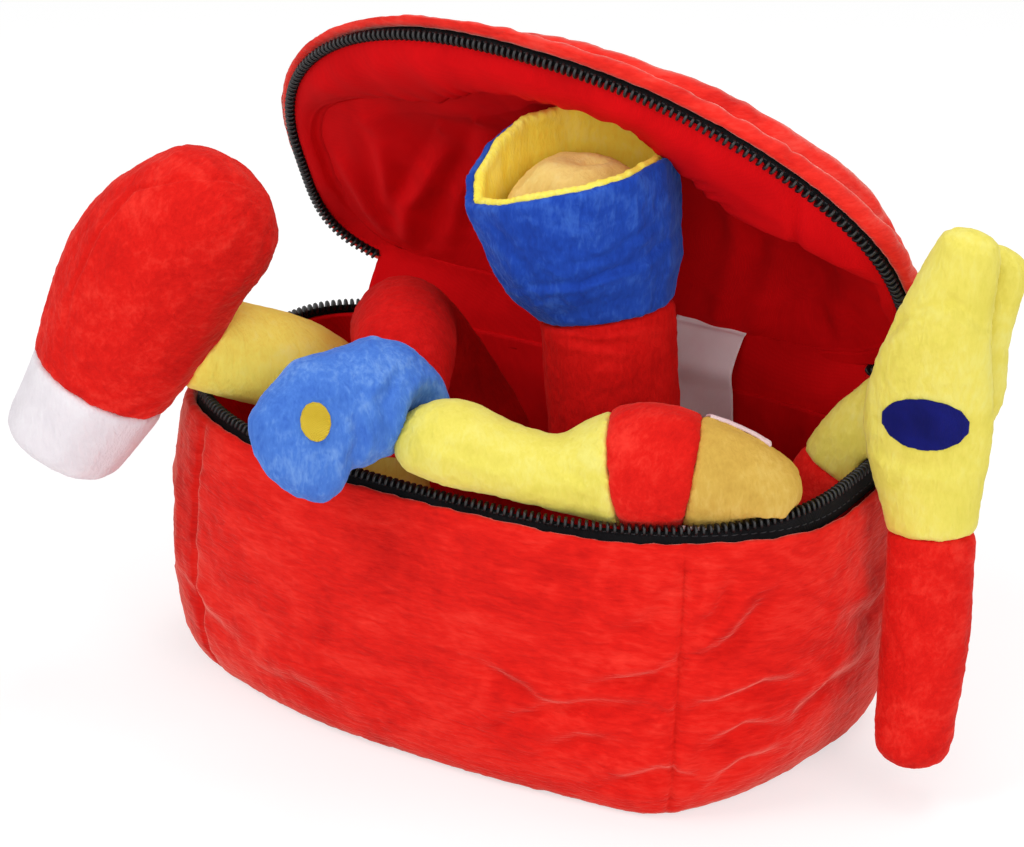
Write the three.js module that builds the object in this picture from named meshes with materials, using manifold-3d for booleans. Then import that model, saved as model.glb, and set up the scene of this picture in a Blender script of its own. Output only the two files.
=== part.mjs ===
// Soft toy tool bag with a zipped lid, standing open, and the five plush tools that it holds.
// Millimetres. +X to the right, the front faces -Y, +Z up. The origin is the middle of the flat bottom.
// The bag is a lofted shell of padded plush panels round a lining. The zip runs round the rim from one
// back corner to the other, and the lid turns about the seam between those corners.

import * as THREE from 'three';
import { mergeVertices } from 'three/addons/utils/BufferGeometryUtils.js';
import Module from 'manifold-3d';

const wasm = await Module();
wasm.setup();

// Driving dimensions of the bag
const halfWidth = 119;
const frontDepth = 74;
const backDepth = 60;
const rimHeight = 100;
const lidHeight = 10.8;
const lidLean = 4.2;
const lidCrown = 12;
const lidOpenAngle = THREE.MathUtils.degToRad(59.5);
const lidTwistAngle = THREE.MathUtils.degToRad(5.4);

// Shared clearances and fabric thicknesses
const gap = 0.3;
const plush = 4;
const liningCloth = 1.2;

// The plan of the bag is a superellipse, squarer at the back, and these are its exponents
const frontCornerShare = 2.7;
const backCornerShare = 4;

const materials = {
  redPlush: new THREE.MeshStandardMaterial({ color: 0xe62a1e, roughness: 0.95, metalness: 0 }),
  redLining: new THREE.MeshStandardMaterial({ color: 0xc4181a, roughness: 0.85, metalness: 0 }),
  blackTape: new THREE.MeshStandardMaterial({ color: 0x16161a, roughness: 0.8, metalness: 0 }),
  blackCoil: new THREE.MeshStandardMaterial({ color: 0x101012, roughness: 0.45, metalness: 0 }),
  blackMetal: new THREE.MeshStandardMaterial({ color: 0x18181a, roughness: 0.35, metalness: 0.6 }),
  whitePlush: new THREE.MeshStandardMaterial({ color: 0xf0eeee, roughness: 0.95, metalness: 0 }),
  yellowPlush: new THREE.MeshStandardMaterial({ color: 0xefe36a, roughness: 0.95, metalness: 0 }),
  goldPlush: new THREE.MeshStandardMaterial({ color: 0xe8c050, roughness: 0.95, metalness: 0 }),
  bluePlush: new THREE.MeshStandardMaterial({ color: 0x2c5fc0, roughness: 0.95, metalness: 0 }),
  navyCloth: new THREE.MeshStandardMaterial({ color: 0x161a62, roughness: 0.9, metalness: 0 }),
  labelSatin: new THREE.MeshStandardMaterial({ color: 0xece6ea, roughness: 0.6, metalness: 0 }),
};

const toolBag = new THREE.Group();

function addPart(name, geometry, material) {
  const mesh = new THREE.Mesh(geometry, material.clone());
  mesh.name = name;
  toolBag.add(mesh);
}

// A closed body through a row of loops with equal point counts. A loop shrunk to one point is a pole.
// Open rows end in a fan round the loop's middle, or in a strip between its outer and inner halves.
function loft(loops, { closed = false, cap = 'fan' } = {}) {
  const count = loops[0].length;
  const points = loops.flat();
  const faces = [];
  const spans = closed ? loops.length : loops.length - 1;
  for (let i = 0; i < spans; i++) {
    const here = i * count;
    const next = ((i + 1) % loops.length) * count;
    for (let j = 0; j < count; j++) {
      const k = (j + 1) % count;
      faces.push([here + j, here + k, next + k], [here + j, next + k, next + j]);
    }
  }
  if (!closed) {
    for (const [start, turned] of [[0, true], [(loops.length - 1) * count, false]]) {
      if (cap === 'strip') {
        for (let j = 0; j < count / 2 - 1; j++) {
          const a = start + j;
          const b = start + j + 1;
          const c = start + count - 2 - j;
          const d = start + count - 1 - j;
          faces.push(turned ? [a, c, b] : [a, b, c], turned ? [a, d, c] : [a, c, d]);
        }
      } else {
        const middle = new THREE.Vector3();
        for (let j = 0; j < count; j++) middle.addScaledVector(points[start + j], 1 / count);
        points.push(middle);
        for (let j = 0; j < count; j++) {
          const a = start + j;
          const b = start + ((j + 1) % count);
          faces.push(turned ? [points.length - 1, b, a] : [points.length - 1, a, b]);
        }
      }
    }
  }
  return bodyFrom(points, faces);
}

// Points and faces as a geometry. Shared points become one, flat faces are dropped and the rest turned out.
function bodyFrom(points, faces) {
  const raw = new THREE.BufferGeometry().setFromPoints(points);
  raw.setIndex(faces.flat());
  const geometry = mergeVertices(raw, gap / 1000);
  const index = geometry.getIndex();
  const place = geometry.getAttribute('position');
  const kept = [];
  let volume = 0;
  const [a, b, c] = [new THREE.Vector3(), new THREE.Vector3(), new THREE.Vector3()];
  for (let i = 0; i < index.count; i += 3) {
    const [u, v, w] = [index.getX(i), index.getX(i + 1), index.getX(i + 2)];
    if (u === v || v === w || w === u) continue;
    kept.push([u, v, w]);
    volume += a.fromBufferAttribute(place, u)
      .dot(b.fromBufferAttribute(place, v).cross(c.fromBufferAttribute(place, w)));
  }
  geometry.setIndex(kept.flatMap(([u, v, w]) => (volume < 0 ? [u, w, v] : [u, v, w])));
  return geometry;
}

function toSolid(geometry) {
  const bare = geometry.clone();
  bare.deleteAttribute('normal');
  bare.deleteAttribute('uv');
  const merged = mergeVertices(bare, gap / 1000);
  return new wasm.Manifold(new wasm.Mesh({
    numProp: 3,
    vertProperties: new Float32Array(merged.getAttribute('position').array),
    triVerts: new Uint32Array(merged.getIndex().array),
  }));
}

function toGeometry(solid) {
  const mesh = solid.getMesh();
  const geometry = new THREE.BufferGeometry();
  geometry.setAttribute('position', new THREE.BufferAttribute(new Float32Array(mesh.vertProperties), 3));
  geometry.setIndex(new THREE.BufferAttribute(new Uint32Array(mesh.triVerts), 1));
  return geometry;
}

// A soft piece gives way to each harder or larger neighbour that reaches into it.
function yieldTo(geometry, neighbours) {
  let solid = toSolid(geometry);
  for (const neighbour of neighbours) {
    const other = toSolid(neighbour);
    if (solid.intersect(other).volume() > 0) solid = solid.subtract(other);
  }
  const pieces = solid.decompose().sort((p, q) => q.volume() - p.volume());
  return toGeometry(pieces[0]);
}

// Plan and rim of the bag

// The plan curve drawn in by inset all round, at an angle about the bag's middle.
function planPoint(angle, inset = 0, back = backDepth) {
  const [c, s] = [Math.cos(angle), Math.sin(angle)];
  const depth = s < 0 ? frontDepth : back;
  const power = 2 / (s < 0 ? frontCornerShare : backCornerShare);
  return new THREE.Vector2(
    Math.sign(c) * (halfWidth - inset) * Math.abs(c) ** power,
    Math.sign(s) * (depth - inset) * Math.abs(s) ** power,
  );
}

// The angle at which the plan stands a given width off the middle, on the front or the back.
function angleAtWidth(width, onFront) {
  const power = (onFront ? frontCornerShare : backCornerShare) / 2;
  const angle = Math.acos(Math.sign(width) * (Math.abs(width) / halfWidth) ** power);
  return onFront ? -angle : angle;
}

// Angles that cut the plan between two angles into equal lengths.
const walkSteps = 720;
function evenAngles(from, to, count) {
  const angles = [from];
  const lengths = [0];
  for (let i = 1; i <= walkSteps; i++) {
    angles.push(from + ((to - from) * i) / walkSteps);
    lengths.push(lengths[i - 1] + planPoint(angles[i]).distanceTo(planPoint(angles[i - 1])));
  }
  return Array.from({ length: count + 1 }, (_, i) => {
    const target = (lengths[walkSteps] * i) / count;
    const j = Math.max(1, lengths.findIndex((length) => length >= target - gap / 1000));
    const share = (target - lengths[j - 1]) / (lengths[j] - lengths[j - 1]);
    return angles[j - 1] + share * (angles[j] - angles[j - 1]);
  });
}

// The soft rim sags at the front, and at the left, where the hammer leans on it.
const frontSag = 4.5;
const leftSag = 2;
function rimAt(angle) {
  const front = Math.max(0, -Math.sin(angle)) ** 2;
  const left = Math.max(0, -Math.cos(angle)) ** 4 * (1 - Math.max(0, Math.sin(angle)));
  return rimHeight - frontSag * front - leftSag * left;
}

// The walls draw in at the foot, belly out at mid height and draw in again under the rim.
// The foot stands a little further left than the rim.
const footSway = 4;
const footInset = 6;
const footRound = 7;
const belly = 2.5;
const rimInset = 2;
function wallInset(height) {
  const share = height / rimHeight;
  const foot = footInset * Math.exp(-height / footRound);
  return foot - belly * Math.sin(Math.PI * share) + rimInset * share ** 6;
}

function wallPoint(angle, inset, height) {
  const plan = planPoint(angle, wallInset(height) + inset);
  return new THREE.Vector3(plan.x - footSway * (1 - height / rimHeight), plan.y, height);
}

// Zip sizes: a standing half coil on a woven tape, inside the plush edge
const zipEndWidth = 97;
const tapeInset = plush + gap + gap / 2;
const tapeThickness = 1.1;
const tapeDepth = 10;
const lidTapeDepth = 5;
const coilHeight = 3.2;
const coilWidth = 3.6;
const toothPitch = 4.4;
const toothRise = 1.9;
const liningInset = tapeInset + tapeThickness + gap + gap / 2;
const frontEdgeDrop = 3.6;
const endEdgeDrop = 8;
const zipCorner = angleAtWidth(zipEndWidth, false);
const zipStart = Math.PI - zipCorner;
const zipStop = 2 * Math.PI + zipCorner;

// How far the plush edge stays below the coil's top: little at the front, more at the bag's ends.
function edgeDrop(angle) {
  return frontEdgeDrop + (endEdgeDrop - frontEdgeDrop) * Math.abs(Math.cos(angle)) ** 6;
}

// Counts of the faceting
const frontSteps = 20;
const endSteps = 10;
const backSteps = 14;
const wallSteps = 5;
const roundSides = 14;

// Body of the bag: four wall panels sewn at the corners, a flat base and a lining
const seamWidth = 88;
const baseThickness = 4;

const rowPowerShare = 1.6;
function wallHeights(angle) {
  const foot = baseThickness + gap;
  const rise = rimAt(angle) - edgeDrop(angle) - foot;
  return Array.from({ length: wallSteps + 1 }, (_, i) => foot + rise * (i / wallSteps) ** rowPowerShare);
}

function wallLoop(angle) {
  const heights = wallHeights(angle);
  const outer = heights.map((height) => wallPoint(angle, 0, height));
  const inner = heights.map((height) => wallPoint(angle, plush, height));
  return [...outer, ...inner.reverse()];
}

const nearSeam = seamWidth - gap / 2;
const pastSeam = seamWidth + gap / 2;
const wallSpans = {
  front: [angleAtWidth(-nearSeam, true), angleAtWidth(nearSeam, true), frontSteps],
  right: [angleAtWidth(pastSeam, true), angleAtWidth(pastSeam, false), endSteps],
  back: [angleAtWidth(nearSeam, false), angleAtWidth(-nearSeam, false), backSteps],
  left: [angleAtWidth(-pastSeam, false), angleAtWidth(-pastSeam, true) + 2 * Math.PI, endSteps],
};

// Each zip end is a station of the wall that it lies on, so that tape and wall bend alike there.
const zipEnds = [zipCorner, Math.PI - zipCorner];
const wallAngles = Object.entries(wallSpans).map(([side, span]) => {
  const ends = zipEnds.filter((angle) => angle > span[0] && angle < span[1]);
  return [side, [...evenAngles(...span), ...ends].sort((a, b) => a - b)];
});
for (const [side, angles] of wallAngles) {
  addPart(`body_${side}_panel`, loft(angles.map(wallLoop), { cap: 'strip' }), materials.redPlush);
}

// Everything that follows the walls all round turns at the same angles as they do.
const fullTurn = wallAngles.flatMap(([, angles]) => angles);

// The base: a padded plate whose edge rounds up into the walls.
const baseLoops = fullTurn.map((angle) => [
  new THREE.Vector3(),
  wallPoint(angle, 0, 0),
  wallPoint(angle, 0, baseThickness / 2),
  wallPoint(angle, 0, baseThickness),
  new THREE.Vector3(0, 0, baseThickness),
]);
addPart('body_base_panel', loft(baseLoops, { closed: true }), materials.redPlush);

// The lining: one thin cup that follows the walls from inside and ends under the zip.
const liningFoot = baseThickness + gap;
const liningHem = 5;
const liningShares = [0, 0.12, 0.4, 0.72, 1];
function liningSide(angle, inset, floor) {
  const top = rimAt(angle) - liningHem;
  const wall = liningShares.map((share) => wallPoint(angle, inset, floor + (top - floor) * share));
  return [new THREE.Vector3(0, 0, floor), ...wall];
}
const liningLoops = fullTurn.map((angle) => [
  ...liningSide(angle, liningInset, liningFoot),
  ...liningSide(angle, liningInset + liningCloth, liningFoot + liningCloth).reverse(),
]);
addPart('body_lining', loft(liningLoops, { closed: true }), materials.redLining);

// Zip: each half is a tape along the rim and a coil whose crests stand up as teeth
const zipAngles = [
  zipStart,
  ...fullTurn.concat(fullTurn.map((angle) => angle + 2 * Math.PI)).filter((a) => a > zipStart && a < zipStop),
  zipStop,
];
const zipLength = zipAngles
  .map((angle) => planPoint(angle, tapeInset))
  .reduce((sum, point, i, row) => sum + (i ? point.distanceTo(row[i - 1]) : 0), 0);
const toothCount = Math.round(zipLength / toothPitch);
const toothAngles = evenAngles(zipStart, zipStop, 2 * toothCount);

// The slider stands at the zip's right end, where the body's coil leaves room for it.
const sliderLength = 11;
const bodyToothAngles = toothAngles.slice(0, -2 * Math.ceil(sliderLength / toothPitch));

// The tape's section down to a depth under the coil's top, and the coil's section with its crest up or down.
function tapeLoop(pointAt, depth) {
  const inner = tapeInset + tapeThickness;
  const head = coilHeight + gap;
  return [pointAt(tapeInset, depth), pointAt(tapeInset, head), pointAt(inner, head), pointAt(inner, depth)];
}
function coilLoop(pointAt, isCrest) {
  const middle = tapeInset + tapeThickness / 2;
  const crest = isCrest ? 0 : toothRise;
  return [
    pointAt(middle - coilWidth / 2, coilHeight),
    pointAt(middle, crest),
    pointAt(middle + coilWidth / 2, coilHeight),
  ];
}
const bodyRimPoint = (angle) => (inset, drop) => wallPoint(angle, inset, rimAt(angle) - drop);
const bodyTapeLoops = zipAngles.map((angle) => tapeLoop(bodyRimPoint(angle), tapeDepth));
const bodyCoilLoops = bodyToothAngles.map((angle, i) => coilLoop(bodyRimPoint(angle), i % 2 === 1));
addPart('body_zip_tape', loft(bodyTapeLoops, { cap: 'strip' }), materials.blackTape);
addPart('body_zip_coil', loft(bodyCoilLoops), materials.blackCoil);

// Lid: drawn closed over the rim, then laid open about the hinge seam, further at the left than at the right.
// It is a shallow padded cover, deeper at the right than at the left.
const seamRadius = 3;
const hingeSetback = 2.8;
const hingeY = backDepth - hingeSetback;
const hingeZ = rimHeight - frontEdgeDrop + gap + seamRadius;
const lidBack = hingeY - seamRadius - gap;
const lidBelly = 1;
const crownRound = 6;

// The open lid bows: it reaches out further in its middle than towards its ends.
const lidBowShare = 0.05;
const lidBowSpreadShare = 2.6;

function lidPlace(x, y, height) {
  const open = lidOpenAngle - (lidTwistAngle * x) / halfWidth;
  const bow = lidBowShare * (1 - lidBowSpreadShare * (x / halfWidth) ** 2);
  const reach = (hingeY - y) * (1 + bow);
  return new THREE.Vector3(
    x,
    hingeY - reach * Math.cos(open) + height * Math.sin(open),
    hingeZ + reach * Math.sin(open) + height * Math.cos(open),
  );
}

function lidHeightAt(angle) {
  return lidHeight + lidLean * Math.cos(angle);
}

function lidInset(share) {
  return crownRound * share ** 4 - lidBelly * Math.sin(Math.PI * share);
}

function lidPoint(angle, inset, height, reachShare = 1) {
  const share = Math.min(1, height / lidHeightAt(angle));
  const plan = planPoint(angle, lidInset(share) + inset, lidBack).multiplyScalar(reachShare);
  return lidPlace(plan.x, plan.y, height);
}

const bandShares = [0, 0.4, 0.75, 1];
function bandHeights(angle) {
  return bandShares.map((share) => frontEdgeDrop + (lidHeightAt(angle) - frontEdgeDrop) * share);
}

function bandLoop(angle) {
  const outer = bandHeights(angle).map((height) => lidPoint(angle, 0, height));
  const inner = bandHeights(angle).map((height) => lidPoint(angle, plush, height));
  return [...outer, ...inner.reverse()];
}

for (const [side, angles] of wallAngles) {
  addPart(`lid_${side}_band`, loft(angles.map(bandLoop), { cap: 'strip' }), materials.redPlush);
}

// The lid's top: a crowned panel that rests on the bands.
const crownShares = [0, 0.3, 0.58, 0.82, 0.95, 1];
const crownPowerShare = 2.2;
const crownLeanShare = 1;
function crownHeight(angle, reachShare) {
  const edge = lidHeight + (lidHeightAt(angle) - lidHeight) * reachShare;
  const lean = 1 + (crownLeanShare * reachShare * planPoint(angle).x) / halfWidth;
  return edge + gap + lidCrown * lean * (1 - reachShare ** crownPowerShare);
}

function crownLoop(angle) {
  const under = crownShares.map((share) => lidPoint(angle, 0, crownHeight(angle, share), share));
  const over = crownShares.slice(0, -1)
    .map((share) => lidPoint(angle, 0, crownHeight(angle, share) + plush, share));
  return [...under, ...over.reverse()];
}
addPart('lid_top_panel', loft(fullTurn.map(crownLoop), { closed: true }), materials.redPlush);

// The lid's lining: up the inside of the bands and across under the crown.
function lidLiningSide(angle, inset, ceiling) {
  const foot = liningHem;
  const rise = lidHeightAt(angle) - ceiling - foot;
  const wall = [0, 0.5, 1].map((share) => lidPoint(angle, inset, foot + rise * share));
  const roof = crownShares.slice(0, -2).reverse()
    .map((share) => lidPoint(angle, inset, crownHeight(angle, share) - gap - ceiling, share));
  return [...wall, ...roof];
}
const lidLiningLoops = fullTurn.map((angle) => [
  ...lidLiningSide(angle, liningInset, 0),
  ...lidLiningSide(angle, liningInset + liningCloth, liningCloth).reverse(),
]);
addPart('lid_lining', loft(lidLiningLoops, { closed: true }), materials.redLining);

const lidRimPoint = (angle) => (inset, drop) => lidPoint(angle, inset, drop);
const lidTapeLoops = zipAngles.map((angle) => tapeLoop(lidRimPoint(angle), lidTapeDepth));
const lidCoilLoops = toothAngles.map((angle, i) => coilLoop(lidRimPoint(angle), i % 2 === 0));
addPart('lid_zip_tape', loft(lidTapeLoops, { cap: 'strip' }), materials.blackTape);
addPart('lid_zip_coil', loft(lidCoilLoops), materials.blackCoil);

// Soft forms: oval sections along a smooth path. The path starts at a seat given in shares of the bag's half
// width, front depth and rim height. Each row of shares holds a place in lengths of the form from its seat,
// then one or two half sizes of its section in shares of the girth. The second half size lies along across.
const roundShares = [1, 0.66, 0.33];
const formSteps = 3;

function seatAt([x, y, z]) {
  return new THREE.Vector3(x * halfWidth, y * frontDepth, z * rimHeight);
}

function softForm({ seat, length, girth, across, shares }) {
  const start = seatAt(seat);
  const places = shares.map(([x, y, z]) => new THREE.Vector3(x, y, z).multiplyScalar(length).add(start));
  const sizes = shares.map((row) => new THREE.Vector3(row[3] * girth, row.at(-1) * girth, 0));
  return {
    path: new THREE.CatmullRomCurve3(places, false, 'centripetal'),
    size: new THREE.CatmullRomCurve3(sizes, false, 'catmullrom'),
    across: new THREE.Vector3(...across).normalize(),
    rows: shares.length - 1,
  };
}

function formRing({ path, size, across }, share, { shift = 0, fit = 1, grow = 0 } = {}) {
  const ahead = path.getTangent(share);
  const centre = path.getPoint(share).addScaledVector(ahead, shift);
  const side = new THREE.Vector3().crossVectors(ahead, across).normalize();
  const depth = new THREE.Vector3().crossVectors(side, ahead);
  const half = size.getPoint(share);
  return Array.from({ length: roundSides }, (_, j) => {
    const turn = (2 * Math.PI * j) / roundSides;
    return centre.clone()
      .addScaledVector(side, fit * (half.x + grow) * Math.cos(turn))
      .addScaledVector(depth, fit * (half.y + grow) * Math.sin(turn));
  });
}

// The form between two shares of its path. A rounded end swells past it by a share of the half size there,
// and a flat end stops half a gap short of it, where the next piece is sewn on.
function formSpan(form, { from = 0, to = 1, startRound = 0, endRound = 0, grow = 0 } = {}) {
  const steps = Math.round((to - from) * form.rows * formSteps);
  const rings = [];
  for (let i = 0; i <= steps; i++) {
    const share = from + ((to - from) * i) / steps;
    const isStart = i === 0;
    const isEnd = i === steps;
    const round = (isStart && startRound) || (isEnd && endRound);
    const sign = isStart ? -1 : 1;
    const swell = form.size.getPoint(share).x * round + grow;
    const rounded = roundShares.map((turn) => formRing(form, share, {
      shift: sign * swell * Math.sin((turn * Math.PI) / 2),
      fit: Math.cos((turn * Math.PI) / 2),
      grow,
    }));
    const flat = (isStart || isEnd) && !round ? sign * (grow - gap / 2) : 0;
    const ring = formRing(form, share, { shift: flat, grow });
    if (isStart && round) rings.push(...rounded, ring);
    else if (isEnd && round) rings.push(ring, ...rounded.reverse());
    else rings.push(ring);
  }
  return loft(rings);
}

// The room that a neighbour takes up on its way out along a direction.
const exitSteps = 8;
const exitStep = 4;
function exitRoom(geometry, direction) {
  const solid = toSolid(geometry);
  let room = solid;
  for (let i = 1; i <= exitSteps; i++) {
    room = room.add(solid.translate(direction.clone().multiplyScalar(i * exitStep).toArray()));
  }
  return toGeometry(room);
}

// A patch of cloth on a soft piece: the skin between two grown copies of the piece, cut out by a prism.
const patchCloth = 0.9;
function patchOn(grown, prism) {
  const skin = toSolid(grown(gap + patchCloth)).subtract(toSolid(grown(gap))).intersect(toSolid(prism));
  const pieces = skin.decompose().sort((p, q) => q.volume() - p.volume());
  return toGeometry(pieces[0]);
}

// A prism from a point along a direction: an oval, or a box when it has four sides.
function prism(start, direction, uprightTo, halfAcross, halfUp, length, sides = roundSides) {
  const ahead = direction.clone().normalize();
  const side = new THREE.Vector3().crossVectors(uprightTo, ahead).normalize();
  const up = new THREE.Vector3().crossVectors(ahead, side);
  const reachOut = 1 / Math.cos(Math.PI / sides);
  const ringAt = (reach) => Array.from({ length: sides }, (_, j) => {
    const turn = (2 * Math.PI * (j + 1 / 2)) / sides;
    return start.clone()
      .addScaledVector(ahead, reach)
      .addScaledVector(side, halfAcross * reachOut * Math.cos(turn))
      .addScaledVector(up, halfUp * reachOut * Math.sin(turn));
  });
  return loft([ringAt(0), ringAt(length)]);
}

const upward = new THREE.Vector3(0, 0, 1);

// What the tools rest on: the bag and the lid as solid cups, each a gap larger than its cloth.
const coilMiddle = tapeInset + tapeThickness / 2;
const bodyGuard = loft(fullTurn.map((angle) => {
  const inner = liningInset + liningCloth + gap;
  const rim = bodyRimPoint(angle);
  return [
    new THREE.Vector3(),
    wallPoint(angle, -gap, 0),
    ...wallHeights(angle).map((height, i) => wallPoint(angle, -gap, i === wallSteps ? height + gap : height)),
    rim(coilMiddle - coilWidth / 2 - gap, -gap),
    rim(coilMiddle + coilWidth / 2 + gap, -gap),
    rim(inner, liningHem - gap),
    ...liningSide(angle, inner, liningFoot + liningCloth + gap).reverse(),
  ];
}), { closed: true });
const lidGuard = loft(fullTurn.map((angle) => [
  ...lidLiningSide(angle, liningInset, 0),
  ...lidLiningSide(angle, liningInset + liningCloth + gap, liningCloth + gap).reverse(),
]), { closed: true });

// The directions right, up and out of a piece that faces the front, turned to the right and tilted up.
const faceTilt = THREE.MathUtils.degToRad(23.3);
function facing(turn) {
  const right = new THREE.Vector3(Math.cos(turn), Math.sin(turn), 0);
  const out = new THREE.Vector3(
    Math.sin(turn) * Math.cos(faceTilt),
    -Math.cos(turn) * Math.cos(faceTilt),
    Math.sin(faceTilt),
  );
  return { right, out, up: new THREE.Vector3().crossVectors(out, right) };
}
const hammerFace = facing(THREE.MathUtils.degToRad(30.6));
const wrenchFace = facing(THREE.MathUtils.degToRad(50));

// Hammer: a mallet head with a white face, on a handle that lies over the bag's left front corner
const hammerLength = 120;
const hammerGirth = 27;
const hammerHead = softForm({
  seat: [-1.12, -1.005, 0.81],
  length: hammerLength,
  girth: hammerGirth,
  across: hammerFace.out,
  shares: [
    [0, 0, 0, 0.741],
    [0.097, 0.05, 0.19, 0.865],
    [0.173, 0.085, 0.352, 1.01],
    [0.265, 0.123, 0.538, 1.06],
    [0.388, 0.166, 0.669, 0.925],
  ],
});
const hammerHandle = softForm({
  seat: [-0.92, -0.847, 1.218],
  length: hammerLength,
  girth: hammerGirth,
  across: hammerFace.out,
  shares: [
    [0, 0, 0, 0.58],
    [0.14, 0.148, -0.073, 0.58],
    [0.29, 0.306, -0.157, 0.58],
    [0.39, 0.423, -0.298, 0.56],
    [0.44, 0.506, -0.515, 0.54],
    [0.457, 0.556, -0.732, 0.5],
  ],
});
const hammerSeamShare = 0.25;
const hammerCrownShare = 0.7;
const hammerFaceRoundShare = 0.3;
const softEndShare = 0.6;
const headSpan = { from: hammerSeamShare, endRound: hammerCrownShare };
const hammerHandleSolid = yieldTo(formSpan(hammerHandle, { endRound: softEndShare }),
  [formSpan(hammerHead, { ...headSpan, grow: gap }), bodyGuard]);
addPart('hammer_head', yieldTo(formSpan(hammerHead, headSpan), [bodyGuard]), materials.redPlush);
addPart('hammer_face', formSpan(hammerHead, { to: hammerSeamShare, startRound: hammerFaceRoundShare }),
  materials.whitePlush);
addPart('hammer_handle', hammerHandleSolid, materials.goldPlush);

// Torch: a red handle that stands in the bag and a blue cup whose back edge leans into the lid
const torchLength = 180;
const torchGirth = 35.5;
const torchForm = softForm({
  seat: [0.296, 0.034, 0.062],
  length: torchLength,
  girth: torchGirth,
  across: new THREE.Vector3(0, 1, 0),
  shares: [
    [0, 0, 0, 0.563],
    [-0.018, -0.006, 0.299, 0.592],
    [-0.034, -0.011, 0.549, 0.592],
    [-0.053, -0.011, 0.722, 0.606],
    [-0.0705, -0.01, 0.775, 0.775],
    [-0.0985, -0.011, 0.843, 0.887],
    [-0.125, -0.022, 0.978, 1],
  ],
});
const torchSeamShare = 0.5;
const torchFootRoundShare = 0.2;
const cupWall = 3;
const cupCloth = 1.4;
const cupFloorShare = 0.667;
const cupFacingFloorShare = 0.706;
const padShare = 0.833;
const padThickness = 6;
const cupSteps = 6;

// The cup's mouth is folded: it is pinched at two corners, which droop, and its back lip is pushed up and
// forwards by the lid. The fold grows from nothing at a share of the torch's path to all of it at the mouth.
const foldStartShare = 0.74;
const foldPowerShare = 1.5;
const foldTurn = THREE.MathUtils.degToRad(51);
const foldRise = 13;
const foldPress = 9;
const foldDroop = 4;
const foldPinch = 2;
const foldAcross = new THREE.Vector3(Math.cos(foldTurn), Math.sin(foldTurn), 0);
const foldForward = new THREE.Vector3(Math.sin(foldTurn), -Math.cos(foldTurn), 0);
function cupRing(share, options) {
  const fold = Math.max(0, (share - foldStartShare) / (1 - foldStartShare)) ** foldPowerShare;
  const middle = torchForm.path.getPoint(share);
  return formRing(torchForm, share, options).map((point) => {
    const out = point.clone().sub(middle).setZ(0).normalize();
    const corner = out.dot(foldAcross);
    const front = out.dot(foldForward);
    const back = Math.max(0, -front);
    return point.clone()
      .addScaledVector(out, -fold * foldPinch * (2 * corner * front) ** 2)
      .addScaledVector(foldForward, fold * foldPress * back)
      .addScaledVector(upward, fold * (foldRise * back - foldDroop * corner ** 4));
  });
}

// A cup between two grown copies of the torch's form: up its outside, over the lip and down to its floor.
function cupBetween(outerFoot, outerGrow, floor, innerGrow) {
  const sharesFrom = (foot) => Array.from({ length: cupSteps + 1 }, (_, i) => (
    foot + ((1 - foot) * i) / cupSteps
  ));
  const outer = sharesFrom(outerFoot).map((share, i) => cupRing(share, {
    shift: i ? 0 : gap / 2,
    grow: outerGrow,
  }));
  const inner = sharesFrom(floor).map((share) => cupRing(share, { grow: innerGrow }));
  return loft([...outer, ...inner.reverse()]);
}
const torchHandle = (grow) => formSpan(torchForm, {
  to: torchSeamShare,
  startRound: torchFootRoundShare,
  grow,
});
addPart('torch_handle', yieldTo(torchHandle(0), [bodyGuard]), materials.redPlush);
const liningGrow = -cupWall - 2 * gap - gap / 2;
const cupOuter = cupBetween(torchSeamShare, 0, cupFloorShare, -cupWall);
const cupFacing = cupBetween(cupFloorShare, liningGrow, cupFacingFloorShare, liningGrow - cupCloth);
addPart('torch_cup', yieldTo(cupOuter, [lidGuard]), materials.bluePlush);
addPart('torch_cup_lining', yieldTo(cupFacing, [lidGuard]), materials.yellowPlush);

// The padded disc that closes the cup under its lip.
const padShares = [[0, 0], [0.6, 0.06], [0.85, 0.22], [1, 0.5], [0.85, 0.8], [0.55, 0.94], [0, 1]];
const padRings = padShares.map(([fit, rise]) => cupRing(padShare, {
  fit,
  grow: liningGrow - cupCloth - 2 * gap,
  shift: rise * padThickness,
}));
addPart('torch_pad', loft(padRings), materials.yellowPlush);

// Screwdriver: a pale blade, a red collar band and a gold handle with a white stripe above and below
const driverLength = 110;
const driverGirth = 19.5;
const driverForm = softForm({
  seat: [-0.008, -0.918, 1.09],
  length: driverLength,
  girth: driverGirth,
  across: upward,
  shares: [
    [0, 0, 0, 0.513],
    [0.1, 0.018, 0.018, 0.692],
    [0.243, 0.06, -0.016, 0.59],
    [0.396, 0.108, -0.036, 0.59],
    [0.498, 0.166, -0.025, 0.846],
    [0.603, 0.208, -0.009, 1],
    [0.718, 0.263, -0.014, 0.897],
    [0.827, 0.317, -0.045, 0.795],
    [0.909, 0.363, -0.091, 0.692],
  ],
});
const bandStartShare = 0.544;
const bandStopShare = 0.75;
const stripeStopShare = 0.95;
const stripeHalfShare = 0.3;
const stripeAxis = new THREE.Vector3(0, 0.5, 0.87).normalize();
const torchGuard = torchHandle(gap);
const driverExit = new THREE.Vector3(0.45, 0.2, 0.87).normalize();
const driverRests = [exitRoom(bodyGuard, driverExit.clone().negate()), torchGuard];
const blade = formSpan(driverForm, { to: bandStartShare, startRound: softEndShare });
const collar = (grow) => formSpan(driverForm, { from: bandStartShare, to: bandStopShare, grow });
const grip = (grow) => formSpan(driverForm, { from: bandStopShare, endRound: softEndShare, grow });
addPart('screwdriver_blade', yieldTo(blade, driverRests), materials.yellowPlush);
addPart('screwdriver_band', yieldTo(collar(0), driverRests), materials.redPlush);
addPart('screwdriver_handle', yieldTo(grip(0), driverRests), materials.goldPlush);
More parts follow.
